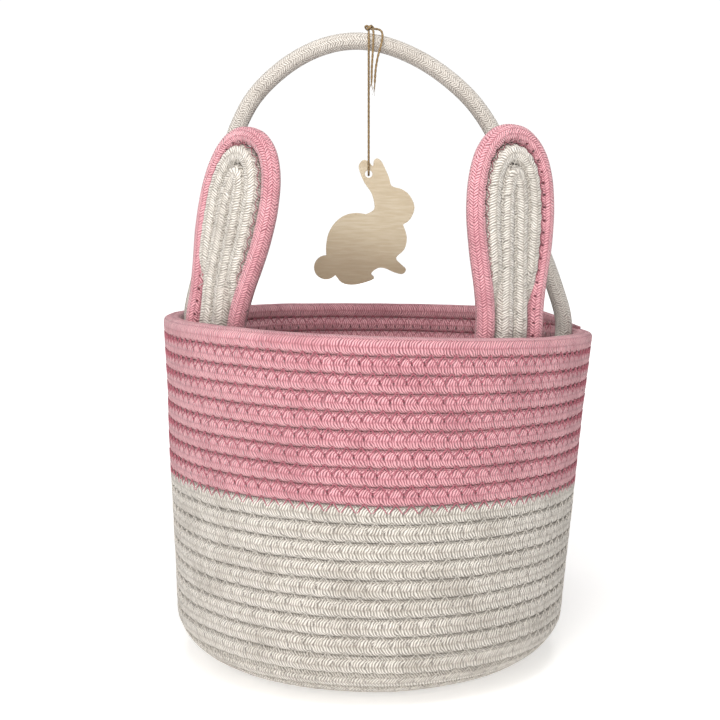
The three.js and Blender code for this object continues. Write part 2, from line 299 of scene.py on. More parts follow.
# ---- Rules of the sewn rope ------------------------------------------------------------------------
COIL_SIZES = {"Pitch": float, "Base radius": float, "Centre height": float, "Corner run": float,
              "Corner rise": float, "Wall slope": float, "Last turn": float, "End azimuth": float}


def coil_rule() -> Rule:
    """Give place and directions along the basket's spiral for a turn number.

    The rope runs out over the base, round the corner and up the wall, one pitch for each turn.

    Returns:
        The group, with Position, Outward, Across and Run outputs, all fields.
    """
    rule = Rule("coil path", {"Turn": float, "Shift": float, **COIL_SIZES},
                {"Position": "vector", "Outward": "vector", "Across": "vector", "Run": float})
    turn, pitch = rule.given("Turn"), rule.given("Pitch")
    base, run, rise = rule.given("Base radius"), rule.given("Corner run"), rule.given("Corner rise")
    slope = rule.given("Wall slope")
    travel = (turn + rule.given("Shift")) * pitch
    # A quarter ellipse: its angle follows the travelled length, corrected for the two half axes.
    mean_axis = ((run * run + rise * rise) * 0.5).math("SQRT")
    corner_length = mean_axis * (math.pi / 2)
    in_base = travel.clamped(0.0, base)
    in_corner = (travel - base).clamped(0.0, corner_length)
    in_wall = (travel - base - corner_length).math("MAXIMUM", 0.0)
    even = in_corner / mean_axis
    angle = even - (even * 2.0).math("SINE") * ((run - rise) / (run + rise) * 0.5)
    sine, cosine = angle.math("SINE"), angle.math("COSINE")
    wall_run, wall_up = slope.math("SINE"), slope.math("COSINE")
    radius = in_base + run * sine + in_wall * wall_run
    height = rule.given("Centre height") + rise * (1.0 - cosine) + in_wall * wall_up
    # The profile's direction, bent gently into the wall's slope.
    into_wall = (in_wall / (pitch * 2.0)).math("MINIMUM", 1.0)
    tangent = combined(rule.tree, run * cosine + rise * slope * into_wall, rise * sine, 0.0)
    tangent = tangent.vector("NORMALIZE")
    t_out, t_up = tangent.part(0), tangent.part(1)
    azimuth = rule.given("End azimuth") + (rule.given("Last turn") - turn) * FULL_TURN
    east, north = azimuth.math("COSINE"), azimuth.math("SINE")
    swept = (in_base * in_base * 0.5 + base * (in_corner + in_wall)
             + run * mean_axis * (1.0 - even.math("COSINE")) + run * in_wall
             + wall_run * in_wall * in_wall * 0.5)
    return rule.finish(
        Position=combined(rule.tree, radius * east, radius * north, height),
        Outward=combined(rule.tree, t_up * east, t_up * north, t_out * -1.0),
        Across=combined(rule.tree, t_out * east, t_out * north, t_up),
        Run=swept * FULL_TURN / pitch)


def skin_rule() -> Rule:
    """Wrap a closed skin round a line that carries outward, across, girth and run attributes.

    Returns:
        The group; its Skin has a UV map of metres along and round, and a stitch attribute.
    """
    rule = Rule("rope skin", {"Line": "geometry", "Width": float, "Depth": float, "Squareness": float,
                              "Section points": int, "Lobes": float, "Lobe depth": float,
                              "Twist": float}, {"Skin": "geometry"})
    line, corners = rule.given("Line"), rule.given("Section points")
    rows = rule.add("GeometryNodeAttributeDomainSize", {"component": "MESH"}, "Point Count",
                    Geometry=line)
    grid = rule.add("GeometryNodeMeshGrid", None, 0, Size_X=1.0, Size_Y=1.0, Vertices_X=rows,
                    Vertices_Y=corners + 1.0)
    index = rule.add("GeometryNodeInputIndex")
    columns = corners + 1.0
    row = (index / columns + 1e-4).math("FLOOR")
    column = index - row * columns
    share = column / corners

    def sampled(name: str, kind: str) -> Wire:
        """Read an attribute of the line at this vertex's row."""
        value = rule.attribute(name, kind) if name else rule.add("GeometryNodeInputPosition")
        return rule.add("GeometryNodeSampleIndex", {"data_type": kind}, 0, Geometry=line, Value=value,
                        Index=row)

    run = sampled("run", "FLOAT")
    angle = share * FULL_TURN - math.pi / 2
    power = 2.0 / rule.given("Squareness")
    cosine, sine = angle.math("COSINE"), angle.math("SINE")
    out = cosine.math("ABSOLUTE").math("POWER", power) * cosine.math("SIGN")
    side = sine.math("ABSOLUTE").math("POWER", power) * sine.math("SIGN")
    lobe = ((angle - run * rule.given("Twist")) * rule.given("Lobes")).math("COSINE")
    girth = sampled("girth", "FLOAT") * (1.0 - (0.5 - lobe * 0.5) * rule.given("Lobe depth"))
    away = sampled("outward", "FLOAT_VECTOR").vector("SCALE", out * rule.given("Depth") * girth * 0.5)
    along = sampled("across", "FLOAT_VECTOR").vector("SCALE", side * rule.given("Width") * girth * 0.5)
    centre = sampled("", "FLOAT_VECTOR")
    shape = rule.stored(grid, "heart", centre, "FLOAT_VECTOR")
    shape = rule.stored(shape, "stitch", sampled("stitch", "FLOAT"))
    shape = rule.stored(shape, "stitch_below", sampled("stitch_below", "FLOAT"))
    shape = rule.stored(shape, "along", run)
    shape = rule.stored(shape, "round", share * (rule.given("Width") + rule.given("Depth")) * 1.65)
    place = centre.vector("ADD", away).vector("ADD", along)
    shape = rule.add("GeometryNodeSetPosition", None, 0, Geometry=shape, Position=place)
    laid = combined(rule.tree, rule.attribute("along"), rule.attribute("round"), 0.0)
    shape = rule.stored(shape, "UVMap", laid, "FLOAT2", "CORNER")
    shape = rule.add("GeometryNodeMergeByDistance", None, 0, Geometry=shape, Distance=1e-6)
    shape = rule.add("GeometryNodeSetShadeSmooth", None, 0, Geometry=shape)
    return rule.finish(Skin=shape)


def dents_rule() -> Rule:
    """Press a skin in where threads cross it and where the needle went through.

    Returns:
        The group.
    """
    rule = Rule("thread dents", {"Skin": "geometry", "Threads": "geometry", "Groove": float,
                                 "Hole": float, "Reach": float}, {"Skin": "geometry"})
    here = rule.add("GeometryNodeInputPosition")
    threads, reach = rule.given("Threads"), rule.given("Reach")
    line_gap = rule.add("GeometryNodeProximity", {"target_element": "EDGES"}, "Distance",
                        Geometry=threads, Sample_Position=here)
    holes = rule.add("GeometryNodeDeleteGeometry", {"domain": "POINT"}, 0, Geometry=threads,
                     Selection=rule.attribute("needle") * -1.0 + 1.0)
    hole_gap = rule.add("GeometryNodeProximity", {"target_element": "POINTS"}, "Distance",
                        Geometry=holes, Sample_Position=here)
    depth = ((1.0 - line_gap / reach).eased() * rule.given("Groove")
             + (1.0 - hole_gap / (reach * 1.5)).eased() * rule.given("Hole"))
    inward = rule.attribute("heart", "FLOAT_VECTOR").vector("SUBTRACT", here).vector("NORMALIZE")
    shape = rule.add("GeometryNodeSetPosition", None, 0, Geometry=rule.given("Skin"),
                     Offset=inward.vector("SCALE", depth))
    return rule.finish(Skin=shape)


def uneven_rule() -> Rule:
    """Move everything by a slow noise, as hand-guided sewing does; rope and thread move alike.

    Returns:
        The group, with a fixed seed.
    """
    rule = Rule("uneven sewing", {"Geometry": "geometry", "Amount": float, "Grain": float,
                                  "Seed": float}, {"Geometry": "geometry"})
    here = rule.add("GeometryNodeInputPosition")
    noise = rule.add("ShaderNodeTexNoise", {"noise_dimensions": "4D"}, "Color", Vector=here,
                     W=rule.given("Seed"), Scale=1.0 / rule.given("Grain"), Detail=1.0)
    shift = noise.vector("SUBTRACT", (0.5, 0.5, 0.5)).vector("SCALE", rule.given("Amount") * 2.0)
    shape = rule.add("GeometryNodeSetPosition", None, 0, Geometry=rule.given("Geometry"), Offset=shift)
    return rule.finish(Geometry=shape)


def finished(rule: Rule, shape: Wire) -> Rule:
    """End a tree in Realize Instances and Set Material."""
    shape = rule.add("GeometryNodeRealizeInstances", None, 0, Geometry=shape)
    shape = rule.add("GeometryNodeSetMaterial", None, 0, Geometry=shape,
                     Material=rule.given("Finish"))
    return rule.finish(Geometry=shape)


STITCH_SIZES = {"First turn": float, "Rate": float, "Rate gain": float}
SECTION_SIZES = {"Width": float, "Depth": float, "Squareness": float, "Section points": int}
PLY_SIZES = {"Lobes": float, "Lobe depth": float, "Twist": float}
DENT_SIZES = {"Groove": float, "Hole": float, "Reach": float}
UNEVEN_SIZES = {"Amount": float, "Grain": float, "Seed": float}
# No ply hollows, for a skin that is smooth round.
SMOOTH = {"Lobes": 0.0, "Lobe_depth": 0.0, "Twist": 0.0}
# Turns below the coil's end above which nothing is sewn to the rope's upper side.
UNSEWN_TURNS = 1.04
# Points that one zigzag stitch, there and back, takes.
STITCH_POINTS = 8.0
ZIGZAG_SIZES = {"Reach across": float, "Aside": float, "Height": float, "Bury": float, "Loose": float}


class SewingRules:
    """The node groups that all sewn pieces share, built once."""

    def __init__(self) -> None:
        """Build the shared groups in order."""
        self.coil = coil_rule()
        self.skin = skin_rule()
        self.dents = dents_rule()
        self.uneven = uneven_rule()
        self.zigzag = self._zigzag()
        self.coil_seam = self._coil_seam()
        self.coil_rope = self._coil_rope()
        self.spine_seam = self._spine_seam()
        self.spine_rope = self._spine_rope()
        self.thread = self._thread()

    def _zigzag(self) -> Rule:
        """Push a seam's points side to side, over the groove and down the needle holes."""
        rule = Rule("zigzag", {"Line": "geometry", "Seed": float, **ZIGZAG_SIZES}, {"Line": "geometry"})
        wave = rule.attribute("wave")
        needle = rule.attribute("needle")
        here = rule.add("GeometryNodeInputPosition")
        shake = rule.add("ShaderNodeTexNoise", {"noise_dimensions": "4D"}, "Color", Vector=here,
                         W=rule.given("Seed"), Scale=180.0, Detail=0.0)
        shake = shake.vector("SUBTRACT", (0.5, 0.5, 0.5)).vector("SCALE", rule.given("Loose"))
        side = rule.attribute("across", "FLOAT_VECTOR").vector(
            "SCALE", wave * rule.given("Reach across") + rule.given("Aside"))
        lift = rule.given("Height") - needle * rule.given("Bury")
        out = rule.attribute("outward", "FLOAT_VECTOR").vector("SCALE", lift)
        offset = side.vector("ADD", out).vector("ADD", shake)
        line = rule.moved(rule.given("Line"), Offset=offset)
        # The thread's section stands square to its own run, which turns at each stitch.
        index = rule.add("GeometryNodeInputIndex")
        ends = [rule.add("GeometryNodeSampleIndex", {"data_type": "FLOAT_VECTOR", "clamp": True}, 0,
                         Geometry=line, Value=rule.add("GeometryNodeInputPosition"), Index=index + step)
                for step in (1.0, -1.0)]
        tangent = ends[0].vector("SUBTRACT", ends[1])
        square = rule.attribute("outward", "FLOAT_VECTOR").vector("CROSS_PRODUCT", tangent)
        line = rule.stored(line, "across", square.vector("NORMALIZE"), "FLOAT_VECTOR")
        return rule.finish(Line=line)

    def _stitch_points(self, rule: Rule) -> tuple:
        """Make a seam's row of points, four for each crossing of the groove.

        They are the needle hole, just out of it, over the groove and just before the next hole.

        Args:
            rule: the seam's group, with the input Stitches.

        Returns:
            The row with the attributes that the zigzag reads, and how many stitches lie before a point.
        """
        index = rule.add("GeometryNodeInputIndex")
        half = (index * 0.25 + 1e-4).math("FLOOR")
        step = index - half * 4.0
        out_of_hole = step.math("GREATER_THAN", 0.5)
        part = (step * 0.4 - 0.3).clamped(0.0, 1.0) * out_of_hole
        line = rule.add("GeometryNodeMeshLine", None, 0,
                        Count=rule.given("Stitches") * STITCH_POINTS + 1.0)
        wave = (part * 2.0 - 1.0) * (1.0 - half.math("MODULO", 2.0) * 2.0)
        for name, value in (("wave", wave), ("needle", 1.0 - out_of_hole), ("girth", 1.0)):
            line = rule.stored(line, name, value)
        return line, (half + part) * 0.5

    def _coil_seam(self) -> Rule:
        """Lay the zigzag line between neighbouring turns, from stitch to stitch."""
        rule = Rule("coil seam", {**STITCH_SIZES, "Stitches": float, "Side": float, "Seed": float,
                                  **ZIGZAG_SIZES, **COIL_SIZES}, {"Line": "geometry"})
        line, phase = self._stitch_points(rule)
        rate, gain, first = rule.given("Rate"), rule.given("Rate gain"), rule.given("First turn")
        turn = first + ((rate * rate + gain * 2.0 * phase).math("SQRT") - rate) / gain
        coil = rule.used(self.coil, COIL_SIZES, Turn=turn, Shift=0.5)
        outward = coil["Outward"].vector("SCALE", rule.given("Side"))
        line = rule.stored(line, "outward", outward, "FLOAT_VECTOR")
        line = rule.stored(line, "across", coil["Across"], "FLOAT_VECTOR")
        line = rule.stored(line, "run", coil["Run"])
        line = rule.moved(line, Position=coil["Position"])
        return rule.finish(Line=rule.through(self.zigzag, ("Seed", *ZIGZAG_SIZES), Line=line))

    def _coil_rope(self) -> Rule:
        """Lay one stretch of the coil's rope, pressed in by its own stitches on both sides."""
        rule = Rule("coil rope", {
            "Rows": int, "Last row turn": float, "Tail turns": float, "Outer threads": "object",
            "Inner threads": "object", "Finish": "material", **STITCH_SIZES, **SECTION_SIZES,
            **DENT_SIZES, **UNEVEN_SIZES, **COIL_SIZES}, {"Geometry": "geometry"})
        index, rows = rule.add("GeometryNodeInputIndex"), rule.given("Rows")
        first, last = rule.given("First turn"), rule.given("Last row turn")
        # The first and the last two rows share a place; the outermost has no girth and closes the end.
        share = ((index - 1.0) / (rows - 3.0)).clamped()
        turn = first + (last - first) * share
        line = rule.add("GeometryNodeMeshLine", None, 0, Count=rows)
        coil = rule.used(self.coil, COIL_SIZES, Turn=turn, Shift=0.0)
        # The rope's cut end thins out and sinks onto the turn below.
        thin = 1.0 - ((turn - rule.given("Last turn")) / rule.given("Tail turns") + 1.0).eased() * 0.8
        sink = coil["Across"].vector("SCALE", (thin - 1.0) * rule.given("Width") * 0.5)
        line = rule.stored(line, "girth", between_ends(index, rows) * thin)
        line = rule.stored(line, "outward", coil["Outward"], "FLOAT_VECTOR")
        line = rule.stored(line, "across", coil["Across"], "FLOAT_VECTOR")
        line = rule.stored(line, "run", coil["Run"])
        from_first = turn - first
        # The seam's line starts one turn below the rope's, so its stitches are counted from there.
        gain = rule.given("Rate gain")
        rate = rule.given("Rate") - gain
        # Half a stitch stands for no needle hole.
        sewn = 1.0 - turn.math("GREATER_THAN", rule.given("Last turn") - UNSEWN_TURNS)
        for name, passed, above in (("stitch", from_first + 1.0, sewn),
                                    ("stitch_below", from_first, 1.0)):
            count = rate * passed + gain * 0.5 * passed * passed
            line = rule.stored(line, name, (count - 0.5) * above + 0.5)
        line = rule.moved(line, Position=coil["Position"].vector("ADD", sink))
        skin = rule.through(self.skin, SECTION_SIZES, Line=line, **SMOOTH)
        return self._pressed(rule, skin, ("Outer threads", "Inner threads"))

    def _spine_seam(self) -> Rule:
        """Lay a zigzag line along a given seam, with whole stitches."""
        rule = Rule("spine seam", {"Geometry": "geometry", "Stitches": float, "Seed": float,
                                   **ZIGZAG_SIZES}, {"Geometry": "geometry"})
        curve = rule.add("GeometryNodeMeshToCurve", None, 0, Mesh=rule.given("Geometry"))
        line, phase = self._stitch_points(rule)
        factor = (phase / rule.given("Stitches")).clamped()
        sampling = {"data_type": "FLOAT_VECTOR", "mode": "FACTOR", "use_all_curves": True}
        for name in ("outward", "across"):
            read = rule.add("GeometryNodeSampleCurve", sampling, "Value", Curves=curve, Factor=factor,
                            Value=rule.attribute(name, "FLOAT_VECTOR"))
            line = rule.stored(line, name, read, "FLOAT_VECTOR")
        place = rule.add("GeometryNodeSampleCurve", sampling, "Position", Curves=curve, Factor=factor)
        line = rule.stored(rule.moved(line, Position=place), "run", factor)
        return rule.finish(Geometry=rule.through(self.zigzag, ("Seed", *ZIGZAG_SIZES), Line=line))

    def _spine_rope(self) -> Rule:
        """Give a drawn line a rope's, twine's or thread's skin, pressed in by stitches if any."""
        rule = Rule("rope on a line", {
            "Geometry": "geometry", "Threads": "object", "Finish": "material", **SECTION_SIZES,
            **PLY_SIZES, **DENT_SIZES, **UNEVEN_SIZES}, {"Geometry": "geometry"})
        skin = rule.through(self.skin, (*SECTION_SIZES, *PLY_SIZES), Line=rule.given("Geometry"))
        return self._pressed(rule, skin, ("Threads",))

    def _thread(self) -> Rule:
        """Wrap a thin round skin on a zigzag line and close its ends."""
        rule = Rule("thread", {"Geometry": "geometry", "Thread": float, "Finish": "material",
                               **UNEVEN_SIZES}, {"Geometry": "geometry"})
        rows = rule.add("GeometryNodeAttributeDomainSize", {"component": "MESH"}, "Point Count",
                        Geometry=rule.given("Geometry"))
        girth = between_ends(rule.add("GeometryNodeInputIndex"), rows)
        line = rule.stored(rule.given("Geometry"), "girth", girth)
        thick = rule.given("Thread")
        skin = rule.through(self.skin, Line=line, Width=thick, Depth=thick, Squareness=2.0,
                            Section_points=5, **SMOOTH)
        return self._pressed(rule, skin)

    def _pressed(self, rule: Rule, skin: Wire, sides: Sequence[str] = ()) -> Rule:
        """Press threads into a skin, sew it unevenly and end its tree.

        Args:
            rule: the group to end.
            skin: the skin so far.
            sides: names of the inputs that hold the threads' lines.

        Returns:
            The ended group.
        """
        for side in sides:
            threads = rule.add("GeometryNodeObjectInfo", None, "Geometry", Object=rule.given(side))
            skin = rule.through(self.dents, DENT_SIZES, Skin=skin, Threads=threads)
        return finished(rule, rule.through(self.uneven, UNEVEN_SIZES, Geometry=skin))


def between_ends(index: Wire, rows: Wire) -> Wire:
    """Give 1 for each row but the first and the last, which close a skin's ends."""
    return index.math("GREATER_THAN", 0.5) * (1.0 - index.math("GREATER_THAN", rows - 1.5))


# ---- Finishes --------------------------------------------------------------------------------------
class Painter:
    """The start of every finish: a new node material with its Principled shader."""

    def __init__(self, name: str) -> None:
        """Make the material and clear its tree."""
        self.material = bpy.data.materials.new(name)
        self.material.use_nodes = True
        self.tree = self.material.node_tree
        self.tree.nodes.clear()
        self.shader = add_node(self.tree, "ShaderNodeBsdfPrincipled")
        add_node(self.tree, "ShaderNodeOutputMaterial", None, {"Surface": self.shader.outputs[0]})

    def add(self, kind: str, settings: Optional[dict] = None, out: Union[int, str] = 0,
            links: Optional[dict] = None) -> Wire:
        """Add a node and give one output as a wire."""
        return Wire(self.tree, add_node(self.tree, kind, settings, links).outputs[out])

    def mixed(self, share: Value, low: Value, high: Value) -> Wire:
        """Mix two colours by a share."""
        made = add_node(self.tree, "ShaderNodeMix", {"data_type": "RGBA"}, {0: share, 6: low, 7: high})
        return Wire(self.tree, made.outputs[2])

    def noise(self, place: Value, grain: float, detail: float = 2.0) -> Wire:
        """Give a noise of a grain size in millimetres."""
        return self.add("ShaderNodeTexNoise", None, "Fac",
                        {"Vector": place, "Scale": 1 / (grain * MM), "Detail": detail})

    def bumped(self, height: Value, depth: float, strength: float = 1.0) -> None:
        """Raise the surface by a height field whose full step is depth millimetres."""
        bump = self.add("ShaderNodeBump", None, 0, {"Height": height, "Distance": depth * MM,
                                                     "Strength": strength})
        self.tree.links.new(bump.socket, self.shader.inputs["Normal"])

    def set(self, **values: Value) -> None:
        """Set the shader's inputs, with spaces as underscores."""
        for name, value in values.items():
            socket = self.shader.inputs[name.replace("_", " ")]
            if isinstance(value, Wire):
                self.tree.links.new(value.socket, socket)
            else:
                socket.default_value = value


@dataclass(frozen=True)
class BraidedCotton:
    """Cover of plaited cotton yarns: rows of slanted strokes, each row leaning the other way.

    The sheen and the uneven yarn tones give the eye a soft, dry, slightly hairy cord.
    """

    name: str
    yarn: str
    shade_and_mottle: str
    light: str
    hole: str = "#1c1213"
    column: float = 3.816
    pick: float = 1.28
    slant: float = 1.6
    depth: float = 0.42
    holes: float = 0.0
    dots: float = 0.0
    creased: float = 0.0

    def make(self) -> bpy.types.Material:
        """Build the material."""
        p = Painter(self.name)
        uv = p.add("ShaderNodeUVMap", {"uv_map": "UVMap"})
        place = p.add("ShaderNodeTexCoord", None, "Object")
        warp = p.noise(place, 3.5, 2.0) - 0.5
        along = uv.part(0) / MM + warp * 2.2
        column = uv.part(1) / (self.column * MM)
        number = column.math("FLOOR")
        inside = column - number
        lean = 1.0 - (number.math("MODULO", 2.0)) * 2.0
        stroke = along / self.pick + inside * lean * self.slant + number * 0.37
        yarn_number = stroke.math("FLOOR")
        across = stroke - yarn_number
        crown = (across * math.pi).math("SINE").math("POWER", 0.75)
        edge = (inside * math.pi).math("SINE").math("POWER", 0.45)
        height = crown * (edge * 0.55 + 0.45)
        own = p.add("ShaderNodeTexWhiteNoise", {"noise_dimensions": "3D"}, "Value",
                    {"Vector": combined(p.tree, yarn_number, number, 0.0)})
        fibres = p.noise(combined(p.tree, across * 0.9 * MM, along * 0.25 * MM, number * MM), 0.22, 2.0)
        mottle = p.noise(place, 22.0, 2.0)
        # Painted shade: the colour darkens in the hollows between the yarns and at the column edges.
        share = (height * 1.3 - 0.2 + (own - 0.5) * 0.36 + (fibres - 0.5) * 0.3).clamped()
        base = p.mixed(share, color(self.shade_and_mottle), color(self.yarn))
        # Painted highlight: the yarn crowns lighten towards the light colour.
        painted_highlight = ((height - 0.62) * 1.3 + (fibres - 0.5) * 0.6 + (mottle - 0.5) * 0.5).clamped()
        base = p.mixed(painted_highlight, base, color(self.light))
        base = p.mixed(((0.52 - mottle) * 1.4).clamped(0.0, 0.3), base, color(self.shade_and_mottle))
        relief = height + (fibres - 0.5) * 0.25
        if self.holes:
            # Painted shade in the needle holes: slits in the hole colour.
            hole_shade_mask = self._painted_hole_shade(p, uv)
            base = p.mixed((hole_shade_mask * self.holes).clamped(), base, color(self.hole))
            relief = relief - hole_shade_mask * (1.6 * self.holes)
        if self.dots:
            # Painted shade in the ear's needle holes: dots in the hole colour.
            step = along / 6.3
            near = (step - step.math("ROUND")).math("ABSOLUTE")
            high = (uv.part(1) / MM - self.dots * EAR_ROUND).math("ABSOLUTE")
            hole_dot_shade = ((1.0 - near * 9.0).clamped() * (1.0 - high / 1.0).clamped() * 2.5).clamped()
            base = p.mixed(hole_dot_shade, base, color(self.hole))
            relief = relief - hole_dot_shade * 1.6
        if self.creased:
            # Painted shade in the folds: the creases darken the colour.
            fold = (along / 4.2 + inside * lean * 0.35 + p.noise(place, 6.0, 1.0) * 1.6)
            fold = fold - fold.math("FLOOR")
            crease = (1.0 - (fold - 0.5).math("ABSOLUTE") * 2.0).math("POWER", 5.0) * self.creased
            base = p.mixed((crease * 0.55).clamped(), base, color(self.shade_and_mottle))
            relief = relief - crease * 1.3
        p.set(Base_Color=base, Roughness=0.88, Sheen_Weight=0.35, Sheen_Roughness=0.45,
              Specular_IOR_Level=0.2)
        p.bumped(relief, self.depth)
        return p.material

    def _painted_hole_shade(self, p: Painter, uv: Wire) -> Wire:
        """Draw the needle's holes as painted shade: short slits where the stitches go in, in two rows.
        """
        round_mm = uv.part(1) / MM
        total = None
        # Halfway round the section is the side away from the seam of the skin.
        for name, offset, row, lean, deep in (("stitch", 0.0, 0.9, -0.05, 2.4),
                                              ("stitch_below", 0.5, -3.2, 0.05, 0.9)):
            phase = p.add("ShaderNodeAttribute", {"attribute_name": name}, "Fac")
            for middle in (OUTER_ROUND, INNER_ROUND):
                height = round_mm - (middle + row)
                shifted = phase + offset + height * lean
                near = (shifted - shifted.math("ROUND")).math("ABSOLUTE")
                slit = ((1.0 - near * 10.0).clamped()
                        * (1.0 - (height.math("ABSOLUTE") / 1.0)).clamped() * deep).clamped()
                total = slit if total is None else total.math("MAXIMUM", slit)
        # Some stitches were pulled tighter than others.
        pull = p.noise(p.add("ShaderNodeTexCoord", None, "Object"), 9.0, 1.0)
        return total * (pull * 2.4 - 0.35).clamped(0.25, 1.0)


@dataclass(frozen=True)
class SewingThread:
    """Twisted polyester thread: smooth plies with a faint shine, finer than the rope's yarns."""

    name: str
    tone: str
    ply_shade: str

    def make(self) -> bpy.types.Material:
        """Build the material."""
        p = Painter(self.name)
        uv = p.add("ShaderNodeUVMap", {"uv_map": "UVMap"})
        place = p.add("ShaderNodeTexCoord", None, "Object")
        ply = (uv.part(0) / (0.8 * MM) + uv.part(1) / (0.9 * MM))
        ply = ((ply - ply.math("FLOOR")) * math.pi).math("SINE")
        # Painted shade: the colour darkens in the hollows between the plies.
        share = (ply * 0.8 + p.noise(place, 3.0, 1.0) * 0.4).clamped()
        p.set(Base_Color=p.mixed(share, color(self.ply_shade), color(self.tone)), Roughness=0.55,
              Sheen_Weight=0.15, Sheen_Roughness=0.4, Specular_IOR_Level=0.35)
        p.bumped(ply, 0.08)
        return p.material


@dataclass(frozen=True)
class JuteTwine:
    """Two-ply jute: coarse tan fibres that wind round the twine, dull, with painted shade in the hollows
    between the plies.
    """

    name: str
    tone: str
    ply_shade: str
    light: str

    def make(self) -> bpy.types.Material:
        """Build the material."""
        p = Painter(self.name)
        uv = p.add("ShaderNodeUVMap", {"uv_map": "UVMap"})
        wound = uv.part(0) / (2.6 * MM) + uv.part(1) / (4.3 * MM)
        fibre = combined(p.tree, wound * 4.0 * MM, uv.part(0) * 0.3, 0.0)
        strands = p.noise(fibre, 0.35, 3.0)
        ply = ((wound * 2.0 - (wound * 2.0).math("FLOOR")) * math.pi).math("SINE")
        # Painted shade in the hollows between the plies, broken up by the fibres' random tone.
        base = p.mixed((ply * 0.9 + (strands - 0.5) * 1.4).clamped(), color(self.ply_shade), color(self.tone))
        base = p.mixed(((strands - 0.55) * 4.0).clamped(0.0, 0.7), base, color(self.light))
        p.set(Base_Color=base, Roughness=0.9, Sheen_Weight=0.2, Sheen_Roughness=0.5,
              Specular_IOR_Level=0.2)
        p.bumped(ply * 0.6 + strands * 0.8, 0.12)
        return p.material


@dataclass(frozen=True)
class CutBirchPlywood:
    """Three-ply birch, cut by laser: pale fine-grained faces, darker towards the bottom with painted
    shade, and a toasted brown edge.
    """

    name: str
    face: str
    grain: str
    shade: str
    edge: str
    middle: float
    reach: float

    def make(self) -> bpy.types.Material:
        """Build the material."""
        p = Painter(self.name)
        place = p.add("ShaderNodeTexCoord", None, "Object")
        long_grain = combined(p.tree, place.part(0) * 0.12, place.part(1), place.part(2))
        figure = p.noise(long_grain, 1.1, 4.0)
        pores = p.noise(combined(p.tree, place.part(0) * 0.06, place.part(1), place.part(2)), 0.35, 2.0)
        base = p.mixed(((figure - 0.38) * 2.6).clamped(), color(self.grain), color(self.face))
        base = p.mixed(((pores - 0.6) * 3.0).clamped(0.0, 0.4), base, color(self.grain))
        # Painted shade: below the middle height the faces darken towards the shade colour.
        lower = ((self.middle - place.part(2)) / self.reach + (p.noise(place, 30.0, 1.0) - 0.5) * 0.5)
        base = p.mixed(lower.eased() * 0.62, base, color(self.shade))
        facing = p.add("ShaderNodeNewGeometry", None, "Normal").part(1).math("ABSOLUTE")
        plies = (place.part(1) / (0.5 * MM)).math("SINE") * 0.5 + 0.5
        toast = p.mixed(plies, color(self.edge), color(self.shade))
        base = p.mixed(facing.math("GREATER_THAN", 0.6), toast, base)
        p.set(Base_Color=base, Roughness=0.62, Specular_IOR_Level=0.35)
        p.bumped(figure * 0.5 + pores, 0.06)
        return p.material


class Slot(Enum):
    """Finishes that the record names."""

    WHITE = "white_rope"
    PINK = "pink_rope"
    THREAD = "sewing_thread"
    TWINE = "jute_twine"


# Where the outer and inner faces lie round a coil turn's section, measured from its lower contact.
COIL_ROUND = (9.2 + 9.3) * 1.65
EAR_ROUND = (9.2 + 9.0) * 1.65
OUTER_ROUND = COIL_ROUND * 0.25
INNER_ROUND = COIL_ROUND * 0.75


class Finishes:
    """Every material of the basket, made once."""

    def __init__(self) -> None:
        """Make the materials."""
        # In each cotton, the second colour is painted shade between the yarns and in creases and also a
        # random mottle, the third a painted highlight on the yarn crowns, the fourth painted shade in
        # the needle holes.
        pink = {"yarn": "#d99ca4", "shade_and_mottle": "#965661", "light": "#e7b1b7", "hole": "#6b2f39"}
        white = {"yarn": "#d8d2c9", "shade_and_mottle": "#91897f", "light": "#e8e4de", "hole": "#7d756c"}
        grey = {"yarn": "#c9c3bb", "shade_and_mottle": "#a69e95", "light": "#d5d0c9"}
        self.pink_wall = BraidedCotton("braided_cotton_pink", **pink, holes=1.0, pick=1.35,
                                       slant=1.55, depth=0.52).make()
        self.white_wall = BraidedCotton("braided_cotton_white", **white, holes=0.6, pick=1.45,
                                        slant=1.5, depth=0.62).make()
        self.pink_ear = BraidedCotton("braided_cotton_pink_ear", **pink, column=2.6, pick=1.35,
                                      slant=1.2, dots=0.37).make()
        self.white_ear = BraidedCotton("braided_cotton_white_ear", **white, slant=1.3,
                                       creased=0.45).make()
        self.white_handle = BraidedCotton("braided_cotton_white_handle", **grey, column=2.54,
                                          pick=1.35, slant=1.2).make()
        self.pink_thread = SewingThread("sewing_thread_pink", "#b26674", "#8a4653").make()
        self.white_thread = SewingThread("sewing_thread_white", "#ddd8d0", "#bdb5ab").make()
        self.twine = JuteTwine("jute_twine", "#8f7752", "#55402a", "#b39c76").make()
        self.wood = CutBirchPlywood("birch_plywood", "#c4b8a2", "#b6a78e", "#836e57", "#5d4630",
                                    0.238, 0.03).make()


# ---- Lines and how the basket sits -----------------------------------------------------------------
@dataclass(frozen=True)
class Settle:
    """How the soft basket stands: the rim drifts to one side and drops towards one side and the back."""

    height: float = 184.0
    radius: float = 110.0
    drift: float = 5.2
    side_drop: float = 2.3
    back_drop: float = 2.2
    power: float = 2.5
    middle_rise: float = 2.3

    def moved(self, points: Points) -> Points:
        """Move points in millimetres as the sewn wall has moved them."""
        up = np.clip(points[:, 2] / self.height, 0.0, 1.0)
        moved = points.copy()
        moved[:, 0] += self.drift * up ** 1.15
        side = np.clip(points[:, 0] / self.radius, -1.1, 1.1) * self.side_drop
        back = (1.0 + np.clip(points[:, 1] / self.radius, -1.1, 1.1)) * self.back_drop
        moved[:, 2] -= (side + back) * up ** self.power
        moved[:, 2] += self.middle_rise * np.sin(math.pi * up)
        return moved

    def settle(self, piece: bpy.types.Object) -> bpy.types.Object:
        """Move a finished mesh, which is in metres."""
        move_mesh(piece, lambda points: self.moved(points / MM) * MM)
        return piece


